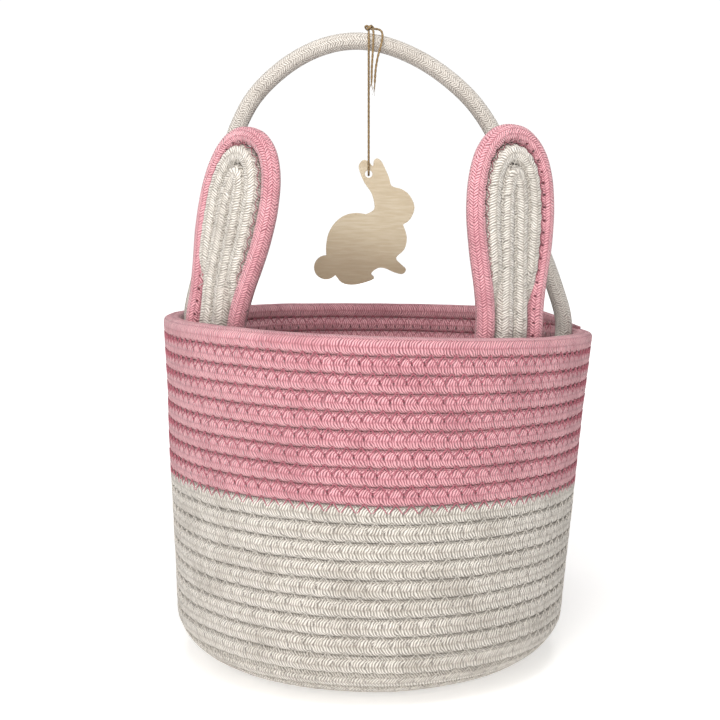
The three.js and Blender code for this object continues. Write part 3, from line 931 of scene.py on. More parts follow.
def move_mesh(piece: bpy.types.Object, rule: Callable[[Points], Points]) -> None:
    """Put a mesh's points where a rule says."""
    flat = np.empty(len(piece.data.vertices) * 3, np.float32)
    piece.data.vertices.foreach_get("co", flat)
    moved = rule(flat.reshape(-1, 3).astype(float)).astype(np.float32)
    piece.data.vertices.foreach_set("co", moved.ravel())
    piece.data.update()


def lengths(points: Points) -> Points:
    """Give the distance travelled at each point of a line."""
    steps = np.linalg.norm(np.diff(points, axis=0), axis=1)
    return np.concatenate([[0.0], np.cumsum(steps)])


def resampled(points: Points, step: float) -> Points:
    """Give a line even steps of about the given size."""
    run = lengths(points)
    count = max(3, int(round(run[-1] / step)) + 1)
    wanted = np.linspace(0.0, run[-1], count)
    return np.stack([np.interp(wanted, run, points[:, axis]) for axis in range(3)], axis=1)


def smoothed(points: Points, step: float, spread: float) -> Points:
    """Round a line's corners, keeping its ends.

    Args:
        points: the line's corners, in millimetres.
        step: distance between the points that come back.
        spread: about how far a corner's rounding reaches.

    Returns:
        The smooth line.
    """
    line = resampled(points, step)
    for _ in range(max(1, int((spread / step) ** 2 / 2))):
        inner = (line[:-2] + 2.0 * line[1:-1] + line[2:]) / 4.0
        line = np.vstack([line[:1], inner, line[-1:]])
    return resampled(line, step)


def unit(vectors: Points) -> Points:
    """Give vectors the length 1."""
    return vectors / np.maximum(np.linalg.norm(vectors, axis=1, keepdims=True), 1e-9)


def spine(name: str, points: Points, outward: Points, girth: Optional[Points] = None,
          closed: bool = True) -> bpy.types.Mesh:
    """Make the line mesh that a rope, twine or seam follows.

    Args:
        name: name of the mesh.
        points: the line, in millimetres.
        outward: the way its outer face looks, for each point.
        girth: share of the full thickness for each point, all full if left out.
        closed: whether the two ends get a closing point of no girth.

    Returns:
        A mesh of edges with the attributes that the rules read.
    """
    tangent = unit(np.gradient(points, axis=0))
    out = outward - tangent * np.sum(outward * tangent, axis=1, keepdims=True)
    out = unit(out)
    across = np.cross(tangent, out)
    full = np.ones(len(points)) if girth is None else girth
    run = lengths(points)
    if closed:
        repeat = np.concatenate([[0], np.arange(len(points)), [len(points) - 1]])
        points, out, across, run = points[repeat], out[repeat], across[repeat], run[repeat]
        full = np.concatenate([[0.0], full, [0.0]])
    mesh = bpy.data.meshes.new(name)
    edges = [(i, i + 1) for i in range(len(points) - 1)]
    mesh.from_pydata((points * MM).tolist(), edges, [])
    for label, values in (("outward", out), ("across", across)):
        layer = mesh.attributes.new(label, "FLOAT_VECTOR", "POINT")
        layer.data.foreach_set("vector", values.astype(np.float32).ravel())
    for label, values in (("girth", full), ("run", run * MM), ("stitch", run * 0.0),
                          ("stitch_below", run * 0.0)):
        layer = mesh.attributes.new(label, "FLOAT", "POINT")
        layer.data.foreach_set("value", values.astype(np.float32))
    return mesh


@dataclass
class Workshop:
    """What every sub-assembly needs: the rules, the finishes and how the basket sits."""

    rules: SewingRules
    finishes: Finishes
    settle: Settle
    coarse: float

    def rope(self, name: str, line: bpy.types.Mesh, finish: bpy.types.Material, width: float = 9.0,
             depth: float = 9.0, squareness: float = 2.2, points: int = 16, lobes: float = 0.0,
             lobe_depth: float = 0.0, twist: float = 0.0, threads: Optional[bpy.types.Object] = None,
             groove: float = 0.0, hole: float = 0.0, amount: float = 0.0) -> bpy.types.Object:
        """Make a rope or twine on a line.

        Args:
            name: name of the piece.
            line: its spine.
            finish: its material.
            width: thickness across, in millimetres.
            depth: thickness outward, in millimetres.
            squareness: 2 for a round section, more for a squarer one.
            points: corners of the section.
            lobes: how many plies show round the section.
            lobe_depth: how deep the hollows between plies are, as a share.
            twist: radians of turn for each millimetre of run.
            threads: the seams' line, if stitches press the rope.
            groove: depth under a thread, in millimetres.
            hole: depth at a needle hole, in millimetres.
            amount: how far the unevenness moves it, in millimetres.

        Returns:
            The finished object.
        """
        values = {"Width": width * MM, "Depth": depth * MM, "Squareness": squareness,
                  "Section points": points, "Lobes": lobes, "Lobe depth": lobe_depth,
                  "Twist": twist / MM, "Groove": groove * MM, "Hole": hole * MM, "Reach": 1.5 * MM,
                  "Amount": amount * MM, "Grain": 0.02, "Seed": 3.0, "Finish": finish}
        if threads is not None:
            values["Threads"] = threads
        return run_rule(name, self.rules.spine_rope, values, line)

    def seam(self, name: str, line: bpy.types.Mesh, pitch: float, reach: float, height: float,
             bury: float, loose: float = 0.3) -> bpy.types.Object:
        """Make the zigzag line of one seam, for threads to follow and to press the ropes."""
        run = np.empty(len(line.vertices), np.float32)
        line.attributes["run"].data.foreach_get("value", run)
        stitches = float(max(1, round(float(run.max()) / MM / pitch)))
        values = {"Stitches": stitches, "Seed": 5.0, "Reach across": reach * MM,
                  "Height": height * MM, "Bury": bury * MM, "Loose": loose * MM}
        return run_rule(name, self.rules.spine_seam, values, line)

    def thread(self, name: str, seam: bpy.types.Object, finish: bpy.types.Material,
               thickness: float = 0.5, amount: float = 0.0) -> bpy.types.Object:
        """Give a seam's line its thread."""
        values = {"Thread": thickness * MM, "Amount": amount * MM, "Grain": 0.02, "Seed": 3.0,
                  "Finish": finish}
        return run_rule(name, self.rules.thread, values, seam.data.copy())


def joined(name: str, parts: Sequence[bpy.types.Object]) -> bpy.types.Object:
    """Join finished pieces into one object and give it a name."""
    with bpy.context.temp_override(active_object=parts[0], selected_editable_objects=list(parts),
                                   selected_objects=list(parts)):
        if len(parts) > 1:
            bpy.ops.object.join()
    parts[0].name = name
    parts[0].data.name = name
    return parts[0]


def dropped(*objects: bpy.types.Object) -> None:
    """Remove helper objects that aren't part of the basket."""
    for helper in objects:
        bpy.data.objects.remove(helper, do_unlink=True)


def placed(piece: bpy.types.Object, slot: Slot, nodes: Sequence[str] = (), body: str = "",
           bend: Optional[tuple] = None) -> bpy.types.Object:
    """Hide the CAD nodes that a finished piece stands for and attach it to the body it rides on, or bake
    it where it stands.

    Args:
        piece: the finished object.
        slot: the record's finish; not used.
        nodes: CAD nodes that it replaces.
        body: the body it rides on.
        bend: instead of a body, (body, body, start, end) for a piece across a joint, in millimetres.

    Returns:
        The piece.
    """
    if nodes:
        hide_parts(*nodes)
    if bend:
        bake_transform(piece)
    else:
        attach(piece, body)
    log.info("%s: %d faces", piece.name, len(piece.data.polygons))
    return piece


# ---- The coiled basket -----------------------------------------------------------------------------
@dataclass(frozen=True)
class Band:
    """One stretch of the spiral with its own rope colour and stitch rate."""

    name: str
    first: float
    last: float
    rate: float
    gain: float
    pink: bool
    nodes: tuple
    step: float = 1.25

    @property
    def seam_first(self) -> float:
        """Give the turn where the band's threads start, one below the rope's where there is one."""
        return self.first - 1.0 if self.first > 1.0 else self.first


@dataclass
class CoiledWall:
    """The basket itself: one rope wound from the middle of the base up to the rim and sewn."""

    rope: float = 9.2
    base_radius: float = 61.5
    corner_run: float = 39.4
    corner_rise: float = 23.4
    wall_slope: float = math.radians(3.59)
    rim_height: float = 179.4
    end_azimuth: float = 4.0
    front_azimuth: float = 270.0
    pink_turns: float = 9.0
    tail_turns: float = 0.1
    reach: float = 2.6
    aside: float = -1.1
    seam_height: float = 4.35
    bury: float = 0.9
    loose: float = 0.35
    widest: float = 112.0

    def build(self, shop: Workshop) -> None:
        """Build and dress every band of the spiral with its threads."""
        corner = math.sqrt((self.corner_run ** 2 + self.corner_rise ** 2) / 2) * math.pi / 2
        corner_top = self.rope / 2 + self.corner_rise
        wall = (self.rim_height - corner_top) / math.cos(self.wall_slope)
        past_front = ((self.front_azimuth - self.end_azimuth) % 360) / 360
        last = (self.base_radius + corner + wall) / self.rope + past_front
        self.sizes = {
            "Pitch": self.rope * MM, "Base radius": self.base_radius * MM,
            "Centre height": self.rope / 2 * MM, "Corner run": self.corner_run * MM,
            "Corner rise": self.corner_rise * MM, "Wall slope": self.wall_slope, "Last turn": last,
            "End azimuth": math.radians(self.end_azimuth)}
        # The colours meet at the back, out of the front's sight.
        behind = ((90.0 - self.end_azimuth) % 360) / 360
        pink = last - behind - self.pink_turns
        base = self.base_radius / self.rope
        turns = [0.1, 3.6, base, base + corner / self.rope, pink, last]
        bands = [
            Band("base_coil_middle", turns[0], turns[1], 14.0, 6.0, False, (), 1.6),
            Band("base_coil_rope", turns[1], turns[2], 36.0, 5.0, False, ("base_coil",), 1.6),
            Band("white_corner_rope", turns[2], turns[3], 62.0, 4.0, False, ("white_corner_coil",)),
            Band("white_wall_rope", turns[3], turns[4], 77.0, 1.6, False, ("white_wall_coil",)),
            Band("pink_wall_rope", turns[4], turns[5], 94.0, 3.2, True,
                 ("pink_wall_coil", "rim_coil"))]
        for band in bands:
            self._band(shop, band, last)
        # The rope's first end is tucked down through the middle of the spiral.
        line = np.linspace((-0.6, 0.4, 1.2), (-0.6, 0.4, 8.2), 8)
        tuck = shop.rope("base_coil_tuck", spine("tuck", line, np.tile((0.0, -1.0, 0.0), (8, 1))),
                         shop.finishes.white_ear, 7.4, 7.4)
        placed(shop.settle.settle(tuck), Slot.WHITE, body="basket")

    def _seam(self, shop: Workshop, band: Band, side: float, last: float) -> bpy.types.Object:
        """Make the zigzag line over a band's grooves, from one turn below its start."""
        start = band.seam_first
        end = min(band.last, last - UNSEWN_TURNS) if band.pink else band.last - 1.0
        rate = band.rate - band.gain * (band.first - start)
        stitches = rate * (end - start) + band.gain * 0.5 * (end - start) ** 2
        values = {**self.sizes, "First turn": start, "Rate": rate, "Rate gain": band.gain,
                  "Stitches": float(int(stitches)), "Side": side, "Seed": 2.0 + side,
                  "Reach across": self.reach * MM, "Aside": self.aside * MM,
                  "Height": self.seam_height * MM, "Bury": self.bury * MM, "Loose": self.loose * MM}
        name = f"{band.name}_{'outer' if side > 0 else 'inner'}_line"
        return run_rule(name, shop.rules.coil_seam, values)

    def _band(self, shop: Workshop, band: Band, last: float) -> None:
        """Build one band: its rope, pressed by its threads, and the threads on both faces."""
        outer, inner = (self._seam(shop, band, side, last) for side in (1.0, -1.0))
        radius = min(self._radius((band.first + band.last) / 2), self.widest)
        rows = int((band.last - band.first) * FULL_TURN * radius / (band.step * shop.coarse))
        uneven = {"Amount": 0.55 * MM, "Grain": 0.03, "Seed": 3.0}
        values = {
            **self.sizes, "Rows": rows, "First turn": band.first, "Last row turn": band.last,
            "Width": 9.3 * MM, "Depth": self.rope * MM, "Squareness": 3.8, "Section points": 20,
            "Tail turns": self.tail_turns, "Outer threads": outer, "Inner threads": inner,
            "Rate": band.rate, "Rate gain": band.gain,
            "Groove": (0.16 if band.pink else 0.3) * MM, "Hole": (0.5 if band.pink else 0.8) * MM,
            "Reach": 1.3 * MM, **uneven,
            "Finish": shop.finishes.pink_wall if band.pink else shop.finishes.white_wall}
        rope = run_rule(band.name, shop.rules.coil_rope, values)
        finish = shop.finishes.pink_thread if band.pink else shop.finishes.white_thread
        for side, line in (("outer", outer), ("inner", inner)):
            values = {"Thread": (0.6 if band.pink else 0.36) * MM, "Finish": finish, **uneven}
            thread = run_rule(f"{band.name}_{side}_thread", shop.rules.thread, values,
                              line.data.copy())
            placed(shop.settle.settle(thread), Slot.THREAD, body="basket")
        dropped(outer, inner)
        slot = Slot.PINK if band.pink else Slot.WHITE
        placed(shop.settle.settle(rope), slot, band.nodes, "basket")

    def _radius(self, turn: float) -> float:
        """Give about how far from the middle a turn of the spiral lies."""
        return max(6.0, min(turn * self.rope, self.base_radius + self.corner_run))


# ---- Handle ----------------------------------------------------------------------------------------
@dataclass
class Handle:
    """A rope arch, its two ends sewn down inside the wall."""

    foot_x: float = 101.38
    hinge: float = 187.0
    rise: float = 144.7
    fullness: float = 1.88
    waist: float = 0.09
    shoulder: float = 0.8
    wall_lean: float = 0.0627
    sewn: float = 56.0
    apex_drift: float = -12.0
    tacks: int = 3

    def place(self, points: Points, settle: Settle) -> Points:
        """Move the arch with the settled rim below and let its top drift to one side."""
        share = np.clip((points[:, 2] - self.hinge) / self.rise, 0.0, 1.0)
        moved = settle.moved(points)
        drop = (moved[:, 2] - points[:, 2])
        moved[:, 2] -= drop * share ** 0.8
        moved[:, 0] += self.apex_drift * share ** 1.3
        return moved

    def line(self, settle: Settle) -> tuple:
        """Give the handle's centre line and the way its outer face looks."""
        power = 2.0 / self.fullness
        angle = np.linspace(math.pi, 0.0, 241)
        up = np.abs(np.sin(angle)) ** power
        drawn_in = 1.0 - self.waist * np.sin(math.pi * np.minimum(up / self.shoulder, 1.0))
        across = np.sign(np.cos(angle)) * np.abs(np.cos(angle)) ** power * drawn_in
        arch = np.stack([self.foot_x * across, angle * 0.0, self.hinge + self.rise * up], 1)
        depth = np.linspace(self.sewn, 1.0, 20)
        foot = self.foot_x - self.wall_lean * depth
        left = np.stack([-foot, depth * 0.0, self.hinge - depth], 1)
        right = (left * (-1.0, 1.0, 1.0))[::-1]
        points = smoothed(self.place(np.vstack([left, arch, right]), settle), 1.2, 11.0)
        tangent = unit(np.gradient(points, axis=0))
        outward = np.cross(tangent, np.tile((0.0, 1.0, 0.0), (len(points), 1)))
        return points, -outward

    def build(self, shop: Workshop) -> None:
        """Build the rope and the bar tacks that hold it."""
        points, outward = self.line(shop.settle)
        rope = shop.rope("handle_rope", spine("handle_line", points, outward),
                         shop.finishes.white_handle, 9.1, 9.1, 2.05, 18, amount=0.12)
        nodes = ["handle_cover", "handle_core", "handle_end_left", "handle_end_right"]
        placed(rope, Slot.WHITE, nodes,
               bend=("basket", "handle", (0, 0, 180.0), (0, 0, 195.0)))
        for side, word in ((-1.0, "left"), (1.0, "right")):
            bars, nodes = [], []
            for i in range(1, self.tacks + 1):
                depth = self.sewn * i / (self.tacks + 0.5)
                x = side * (self.foot_x - self.wall_lean * depth)
                centre = np.array([x, 0.0, self.hinge - depth])
                inward, beside = np.array([-side, 0.0, 0.0]), np.array([0.0, 1.0, 0.0])
                bars += tack(shop, f"bar_{word}_{i}", centre, inward, beside, 4.6)
                nodes.append(f"handle_tack_{word}_{i}")
            piece = shop.settle.settle(joined(f"handle_tacks_{word}", bars))
            placed(piece, Slot.THREAD, nodes, "basket")


def tack(shop: Workshop, name: str, centre: Points, inward: Points, beside: Points,
         radius: float, half: float = 4.6, rows: int = 3) -> list:
    """Make a bar tack: neighbouring threads that pass over a rope's leg and into the wall.

    Args:
        shop: rules and finishes.
        name: start of the names.
        centre: middle of the leg there, in millimetres.
        inward: the way the leg's free face looks.
        beside: the way round the leg.
        radius: the leg's radius.
        half: half of the width that the threads span.
        rows: how many threads lie side by side.

    Returns:
        The thread objects.
    """
    angle = np.linspace(-2.0, 2.0, 15)[:, None]
    made = []
    for row in range(rows):
        lift = np.array([0.0, 0.0, (row - (rows - 1) / 2) * 0.75])
        reach = radius + 0.42
        points = (centre + lift + inward * np.cos(angle) * reach
                  + beside * np.sin(angle) * (half + 0.42))
        outward = inward * np.cos(angle) + beside * np.sin(angle)
        made.append(shop.rope(f"{name}_{row}", spine(name, points, outward),
                              shop.finishes.white_thread, 0.7, 0.7, 2.0, 6))
    return made


# ---- Ears ------------------------------------------------------------------------------------------
@dataclass
class Ear:
    """A rope ear: a pink outline round two white loops, sewn side by side, its legs in the wall."""

    name: str
    azimuth: float
    tilt: float
    lean: float
    stand: float
    slit: float = 0.0
    along: float = 0.0
    lift: float = 0.0
    turn: float = 0.0
    fullness: float = 0.88
    hinge: float = 187.0
    foot_half: float = 15.9
    wide_half: float = 22.7
    wide_height: float = 56.0
    top: float = 92.4
    rope: float = 9.0
    sewn: float = 40.0
    wall_lean: float = 3.54

    def loop(self, foot: float, wide: float, top: float, count: int = 160) -> Points:
        """Give the ear curve for a pass of rope in its own flat plane, from one foot to the other."""
        share = np.linspace(0.0, 1.0, count)
        from_foot = 1.0 - np.abs(2.0 * share - 1.0)
        rise = np.clip(from_foot / 0.5, 0.0, 1.0)
        half = foot + (wide - foot) * (1.0 - np.cos(math.pi * rise)) / 2.0
        angle = (math.pi / 2) * np.clip((from_foot - 0.5) / 0.5, 0.0, 1.0)
        over = from_foot >= 0.5
        x = np.where(over, wide * np.cos(angle) ** self.fullness, half)
        z = np.where(over, self.wide_height + (top - self.wide_height) * np.sin(angle) ** self.fullness,
                     self.wide_height * rise)
        return np.stack([np.where(share < 0.5, -x, x), x * 0.0, z], 1)

    def frames(self) -> tuple:
        """Give the matrices of the blade over the rim and of the legs in the wall."""
        angle = math.radians(self.azimuth)
        place = (self.stand * math.sin(angle) + self.along * math.cos(angle),
                 -self.stand * math.cos(angle) + self.along * math.sin(angle), self.hinge + self.lift)
        facing = angle + math.radians(self.turn)
        spot = Matrix.Translation(place) @ Matrix.Rotation(facing, 4, "Z")
        tilt = Matrix.Rotation(math.radians(self.tilt), 4, "Y")
        blade = spot @ Matrix.Rotation(math.radians(-self.lean), 4, "X") @ tilt
        root = spot @ Matrix.Rotation(math.radians(self.wall_lean), 4, "X") @ tilt
        return np.array(blade), np.array(root)

    def placed_line(self, points: Points, settle: Settle, step: float = 1.0,
                    spread: float = 5.0) -> Points:
        """Take a line from the ear's plane to the basket; below the bend it follows the wall."""
        blade, root = self.frames()
        share = np.clip((points[:, 2] + 6.0) / 12.0, 0.0, 1.0)[:, None]
        ones = np.hstack([points, np.ones((len(points), 1))])
        moved = (ones @ blade.T)[:, :3] * share + (ones @ root.T)[:, :3] * (1.0 - share)
        return smoothed(settle.moved(moved), step, spread)

    def face(self, side: float = 1.0) -> Points:
        """Give the way the ear's front looks."""
        return -self.frames()[0][:3, 1] * side

    def legs(self, line: Points, depth: float) -> Points:
        """Add straight legs below both feet of a line."""
        down = np.linspace(-depth, -1.0, 12)
        left = np.stack([down * 0.0 + line[0, 0], down * 0.0 + line[0, 1], down], 1)
        right = np.stack([down * 0.0 + line[-1, 0], down * 0.0 + line[-1, 1], down], 1)[::-1]
        return np.vstack([left, line, right])

    def build(self, shop: Workshop) -> None:
        """Build the three ropes, the zigzag threads between them and the bar tacks."""
        outline = self.legs(self.loop(self.foot_half, self.wide_half, self.top), self.sewn)
        fill_wide, inner_wide = self.wide_half - 9.1, 4.55
        fill = self.loop(9.9, fill_wide, self.top - 9.15)
        # The outer white pass slips behind its neighbours on its way down.
        fill[:, 1] += 5.2 * (1.0 - smooth_share(fill[:, 2], 3.0, 30.0))
        fill[:, 0] += self.slit * smooth_share(fill[:, 2], 0.0, 20.0)
        fill = fill[fill[:, 2] > 1.0]
        inner = self.legs(self.loop(4.6, inner_wide, self.top - 18.3), self.sewn)
        inner[:, 0] += self.slit * smooth_share(inner[:, 2], 0.0, 20.0)
        seams = [self.loop(13.4, self.wide_half - 4.6, self.top - 4.6),
                 self.loop(8.2, 9.1, self.top - 13.7)]
        seams[0] = seams[0][seams[0][:, 2] > 20.0]
        seams[1] = seams[1][seams[1][:, 2] > 12.0]
        seams[0][:, 0] += self.slit * 0.5
        seams[1][:, 0] += self.slit
        middle = np.array([[self.slit, 0.0, 2.0], [self.slit, 0.0, self.top - 23.0]])
        seams.append(resampled(middle, 2.0))
        lines, threads = [], []
        for i, seam in enumerate(seams):
            reach, height = (1.1, 3.1) if i == 0 else (2.2, 3.9)
            for side in (1.0, -1.0):
                points = self.placed_line(seam, shop.settle, 1.5, 2.0)
                outward = np.tile(self.face(side), (len(points), 1))
                mesh = spine("seam", points, outward, closed=False)
                lines.append(shop.seam("seam_line", mesh, 6.3, reach, height, 0.9))
        for i, line in enumerate(lines):
            finish = shop.finishes.pink_thread if i < 2 else shop.finishes.white_thread
            threads.append(shop.thread("ear_thread", line, finish, 0.36, 0.3))
        press = joined(f"{self.name}_seams", lines)
        body = dict(bend=("basket", self.name, (0, 0, 179.0), (0, 0, 196.0)))
        pieces = (
            ("outline_rope", outline, shop.finishes.pink_ear, Slot.PINK, 9.2, 2.3,
             ("outline", "outline_end_a", "outline_end_b")),
            ("outer_loop", fill, shop.finishes.white_ear, Slot.WHITE, 9.5, 3.0, ("outer_fill",)),
            ("inner_loop", inner, shop.finishes.white_ear, Slot.WHITE, 9.5, 3.0,
             ("inner_fill", "fill_end_a", "fill_end_b")))
        for word, line, finish, slot, width, square, nodes in pieces:
            points = self.placed_line(line, shop.settle)
            outward = np.tile(self.face(), (len(points), 1))
            rope = shop.rope(f"{self.name}_{word}", spine(word, points, outward), finish, width,
                             self.rope, square, 16, threads=press, groove=0.45, hole=0.9, amount=0.3)
            placed(rope, slot, [f"{self.name}_{node}" for node in nodes], **body)
        dropped(press)
        placed(joined(f"{self.name}_threads", threads), Slot.THREAD, **body)
        self._tacks(shop)

    def _tacks(self, shop: Workshop) -> None:
        """Sew the legs down with two rows of bar tacks."""
        root = self.frames()[1]
        into, along = root[:3, 1], root[:3, 0]
        bars, nodes = [], []
        for i in (1, 2):
            depth = self.sewn * i / 2.5
            for x in (-self.foot_half, -4.6, 4.6, self.foot_half):
                centre = (root @ np.array([x, 0.0, -depth, 1.0]))[:3]
                bars += tack(shop, f"bar_{i}", centre, into, along, 4.5, 4.5, 2)
            nodes.append(f"{self.name}_tack_{i}")
        piece = shop.settle.settle(joined(f"{self.name}_bar_tacks", bars))
        placed(piece, Slot.THREAD, nodes, "basket")


def smooth_share(values: Points, low: float, high: float) -> Points:
    """Give 0 below low, 1 above high and a smooth step between."""
    share = np.clip((values - low) / (high - low), 0.0, 1.0)
    return share * share * (3.0 - 2.0 * share)


# ---- Twine and tag ---------------------------------------------------------------------------------
@dataclass
class TwineHitch:
    """The jute twine that carries the tag: a loop over the handle, a knot, two strands, two tails."""

    top: float = 331.0
    saddle: float = 5.68
    thickness: float = 1.3
    twist: float = 1.15
    tail_long: tuple = ((3.0, -0.5, 6.7), (5.0, -2.1, 6.3), (6.6, -4.1, 5.1), (7.2, -5.9, 2.8),
                        (6.8, -6.8, -0.8), (5.6, -7.2, -5.2), (4.5, -7.4, -9.6), (3.7, -7.5, -14.4),
                        (3.3, -7.6, -19.2), (3.1, -7.7, -24.0))
    tail_short: tuple = ((2.0, -2.4, 6.4), (2.4, -4.4, 5.0), (2.5, -6.0, 2.8), (2.4, -7.0, 0.0),
                         (2.2, -7.4, -4.0), (1.9, -7.6, -9.0), (1.6, -7.8, -14.0), (1.5, -7.9, -18.5),
                         (1.4, -8.0, -23.0))
    strand: tuple = ((5.55, -0.3), (5.55, -2.3), (4.9, -9.2), (3.175, -21.5), (0.8, -41.7),
                     (0.8, -43.3), (0.8, -44.6), (2.45, -56.3), (2.45, -65.7), (2.15, -68.95),
                     (0.0, -70.25))

    def twine(self, shop: Workshop, name: str, points: Points,
              girth: Optional[Points] = None) -> bpy.types.Object:
        """Make a piece of twine of two twisted plies on a line."""
        outward = steady_outward(points)
        return shop.rope(name, spine(name, points, outward, girth), shop.finishes.twine,
                         self.thickness, self.thickness, 2.0, 10, 2.0, 0.26, self.twist)

    def build_cords(self, shop: Workshop) -> None:
        for word, route in (("long", self.tail_long), ("short", self.tail_short)):
            corners = np.array(route) + (0.0, 0.0, self.top)
            points = spline(corners, 0.4)
            share = lengths(points) / lengths(points)[-1]
            girth = 1.0 - 0.45 * smooth_share(share, 0.9, 1.0)
            tail = self.twine(shop, f"twine_tail_{word}_cord", points, girth)
            frays = self._frays(shop, f"twine_tail_{word}_frays", points[-4:])
            placed(tail, Slot.TWINE, [f"twine_tail_{word}"], "twine_hitch")
            placed(frays, Slot.TWINE, body="twine_hitch")

    def _frays(self, shop: Workshop, name: str, tip: Points) -> bpy.types.Object:
        """Make the loose fibres at a tail's cut end."""
        chance = np.random.default_rng(7 if "long" in name else 11)
        fibres = []
        along = (tip[-1] - tip[0]) / np.linalg.norm(tip[-1] - tip[0])
        for i in range(9):
            spread = chance.normal(0.0, 0.42, 3)
            reach = chance.uniform(2.2, 4.2)
            share = np.linspace(0.0, 1.0, 7)[:, None]
            points = tip[-1] - along * 1.2 + along * share * reach + spread * share ** 1.5 * 2.0
            points = points + np.sin(share * 5.0 + i) * 0.12
            girth = 1.0 - 0.6 * share[:, 0]
            fibres.append(shop.rope(f"{name}_{i}", spine(name, points, steady_outward(points), girth),
                                    shop.finishes.twine, 0.26, 0.26, 2.0, 4))
        return joined(name, fibres)

    def build(self, shop: Workshop) -> None:
        """Build the knot, the saddle over the handle, the strands and the bight through the tag."""
        self._knot(shop)
        corners = np.array(self.strand)
        for word, side in (("front", -1.0), ("back", 1.0)):
            line = np.stack([corners[:5, 0] * 0.0, corners[:5, 0] * side, corners[:5, 1] + self.top], 1)
            points = spline(line, 0.6)
            points = points[points[:, 2] > 299.0]
            strand = self.twine(shop, f"twine_strand_{word}_cord", points)
            placed(strand, Slot.TWINE, [f"twine_strand_{word}"],
                   bend=("twine_hitch", "twine_strands", (0, 0, 331.0), (0, 0, 318.0)))
        lower = corners[3:]
        front = np.stack([lower[:, 0] * 0.0, -lower[:, 0], lower[:, 1] + self.top], 1)
        back = (front * (1.0, -1.0, 1.0))[::-1][1:]
        points = spline(np.vstack([front, back]), 0.5)
        keep = points[:, 2] <= 300.0
        bight = self.twine(shop, "twine_bight_cord", points[keep])
        placed(bight, Slot.TWINE, ["twine_bight"],
               bend=("twine_strands", "tag", (0, 0, 299.0), (0, 0, 276.0)))

    def _knot(self, shop: Workshop) -> None:
        """Make the overhand knot and the loop that sits on the handle."""
        angle = np.linspace(0.0, FULL_TURN, 97)[:-1]
        knot = np.stack([0.82 * (np.sin(angle) + 2.0 * np.sin(2 * angle)),
                         0.62 * (np.cos(angle) - 2.0 * np.cos(2 * angle)),
                         -1.0 * np.sin(3 * angle)], 1)
        knot = np.vstack([knot, knot[:1]]) + (0.4, 0.0, self.top + 7.4)
        saddle = np.linspace(-math.pi / 2, math.pi / 2, 33)
        ring = np.stack([saddle * 0.0, np.sin(saddle) * self.saddle,
                         self.top - 0.2 + np.cos(saddle) * self.saddle], 1)
        first = np.array([[0.0, -self.saddle, self.top - 1.6]])
        ring = np.vstack([first, ring, first * (1.0, -1.0, 1.0)])
        parts = [self.twine(shop, "knot", smoothed(knot, 0.5, 0.6)),
                 self.twine(shop, "saddle", smoothed(ring, 0.5, 0.5))]
        placed(joined("twine_knot_cord", parts), Slot.TWINE, ["twine_knot"], "twine_hitch")


def spline(corners: Points, step: float) -> Points:
    """Run a centripetal-like smooth curve through points, in even steps."""
    padded = np.vstack([2 * corners[0] - corners[1], corners, 2 * corners[-1] - corners[-2]])
    pieces = []
    for i in range(len(corners) - 1):
        a, b, c, d = padded[i:i + 4]
        t = np.linspace(0.0, 1.0, 16, endpoint=False)[:, None]
        pieces.append(0.5 * (2 * b + (c - a) * t + (2 * a - 5 * b + 4 * c - d) * t ** 2
                             + (3 * b - a - 3 * c + d) * t ** 3))
    return resampled(np.vstack(pieces + [corners[-1:]]), step)


def steady_outward(points: Points) -> Points:
    """Carry one side direction along a line without twisting it."""
    tangent = unit(np.gradient(points, axis=0))
    start = np.array([1.0, 0.0, 0.0]) if abs(tangent[0, 0]) < 0.8 else np.array([0.0, 1.0, 0.0])
    sides = [start - tangent[0] * (start @ tangent[0])]
    for direction in tangent[1:]:
        side = sides[-1] - direction * (sides[-1] @ direction)
        sides.append(side / np.linalg.norm(side))
    return unit(np.array(sides))


def dress_tag(shop: Workshop) -> None:
    """Give the wooden tag's own CAD mesh its birch finish."""
    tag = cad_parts["bunny_tag"]
    tag.data.materials.clear()
    tag.data.materials.append(shop.finishes.wood)
    log.info("bunny_tag: %d faces", len(tag.data.polygons))


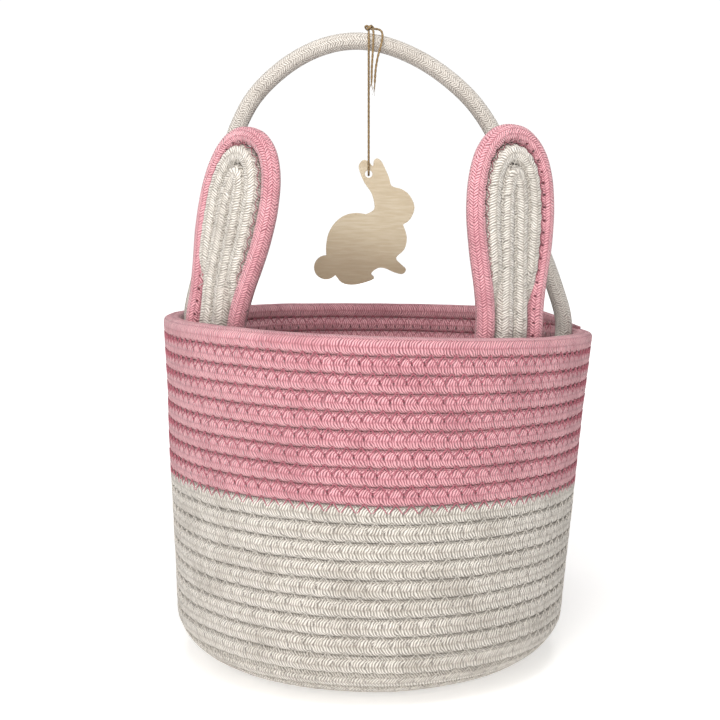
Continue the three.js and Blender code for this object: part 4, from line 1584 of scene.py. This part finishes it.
# ---- Studio ----------------------------------------------------------------------------------------
@dataclass
class Studio:
    """Camera, soft lights and a pale floor."""

    camera_place: tuple = (-0.00465, -0.7636, 0.2458)
    pitch: float = 83.66
    lens: float = 70.54
    floor_size: float = 8.0

    def build_camera(self) -> None:
        """Make the camera."""
        data = bpy.data.cameras.new("camera")
        data.lens = self.lens
        data.sensor_width = 36.0
        data.clip_start = 0.01
        camera = bpy.data.objects.new("camera", data)
        camera.location = self.camera_place
        camera.rotation_euler = (math.radians(self.pitch), 0.0, 0.0)
        bpy.context.scene.collection.objects.link(camera)
        bpy.context.scene.camera = camera

    def light(self, name: str, place: tuple, aim: tuple, size: float, power: float, tone: str) -> None:
        """Make one large soft light that looks at a point."""
        data = bpy.data.lights.new(name, "AREA")
        data.shape = "SQUARE"
        data.size = size
        data.energy = power
        data.color = color(tone)[:3]
        lamp = bpy.data.objects.new(name, data)
        lamp.location = place
        lamp.rotation_euler = (Vector(aim) - Vector(place)).to_track_quat("-Z", "Y").to_euler()
        bpy.context.scene.collection.objects.link(lamp)

    def build(self) -> None:
        """Make the lights, the surroundings and the floor."""
        self.light("key", (-0.45, -1.05, 0.8), (0.0, 0.0, 0.12), 1.2, 6.8, "#fffaf5")
        self.light("fill", (-0.15, -1.25, 0.5), (0.0, 0.0, 0.16), 0.5, 4.3, "#fffdfb")
        self.light("top", (0.0, -0.45, 0.95), (0.0, 0.1, 0.15), 0.5, 5.8, "#ffffff")
        world = bpy.data.worlds.new("studio")
        bpy.context.scene.world = world
        world.use_nodes = True
        world.node_tree.nodes.clear()
        ray = add_node(world.node_tree, "ShaderNodeLightPath")
        seen = Wire(world.node_tree, ray.outputs["Is Camera Ray"])
        strength = seen * 0.76 + 0.29
        back = add_node(world.node_tree, "ShaderNodeBackground", None,
                        {"Color": (1.0, 1.0, 1.0, 1.0), "Strength": strength})
        add_node(world.node_tree, "ShaderNodeOutputWorld", None, {"Surface": back.outputs[0]})
        half = self.floor_size / 2
        mesh = bpy.data.meshes.new("floor")
        mesh.from_pydata([(-half, -half, 0), (half, -half, 0), (half, half, 0), (-half, half, 0)], [],
                         [(0, 1, 2, 3)])
        floor = bpy.data.objects.new("floor", mesh)
        floor.location = (0.0, 0.0, -0.0008)
        bpy.context.scene.collection.objects.link(floor)
        paper = Painter("pale_paper_floor")
        # The paper glows a little and more so further out, where it runs into the white surroundings.
        away = paper.add("ShaderNodeTexCoord", None, "Object").vector("LENGTH")
        glow = ((away - 0.25) / 0.9).eased() * 0.55 + 0.45
        paper.set(Base_Color=color("#f7f6f4"), Roughness=0.9, Specular_IOR_Level=0.1,
                  Emission_Color=color("#ffffff"), Emission_Strength=glow)
        mesh.materials.append(paper.material)
        floor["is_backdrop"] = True
        bpy.context.scene.view_settings.view_transform = "Standard"


def main(cad_box: tuple) -> None:
    """Build the basket's looks in order."""
    studio = Studio()
    studio.build_camera()
    shop = Workshop(SewingRules(), Finishes(), Settle(), 1.0)
    hitch = TwineHitch()
    hitch.build_cords(shop)
    hitch.build(shop)
    dress_tag(shop)
    CoiledWall().build(shop)
    Handle().build(shop)
    for ear in (Ear("left_ear", -50.0, 11.8, 5.0, 98.63, slit=-2.9, along=-10.6, lift=1.0, turn=6.0),
                Ear("right_ear", 40.0, 1.0, 1.0, 99.71, along=-1.2, lift=2.0, turn=-3.0)):
        ear.build(shop)
    studio.build()
    bpy.context.view_layer.update()


if __name__ == "__main__":
    main(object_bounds())
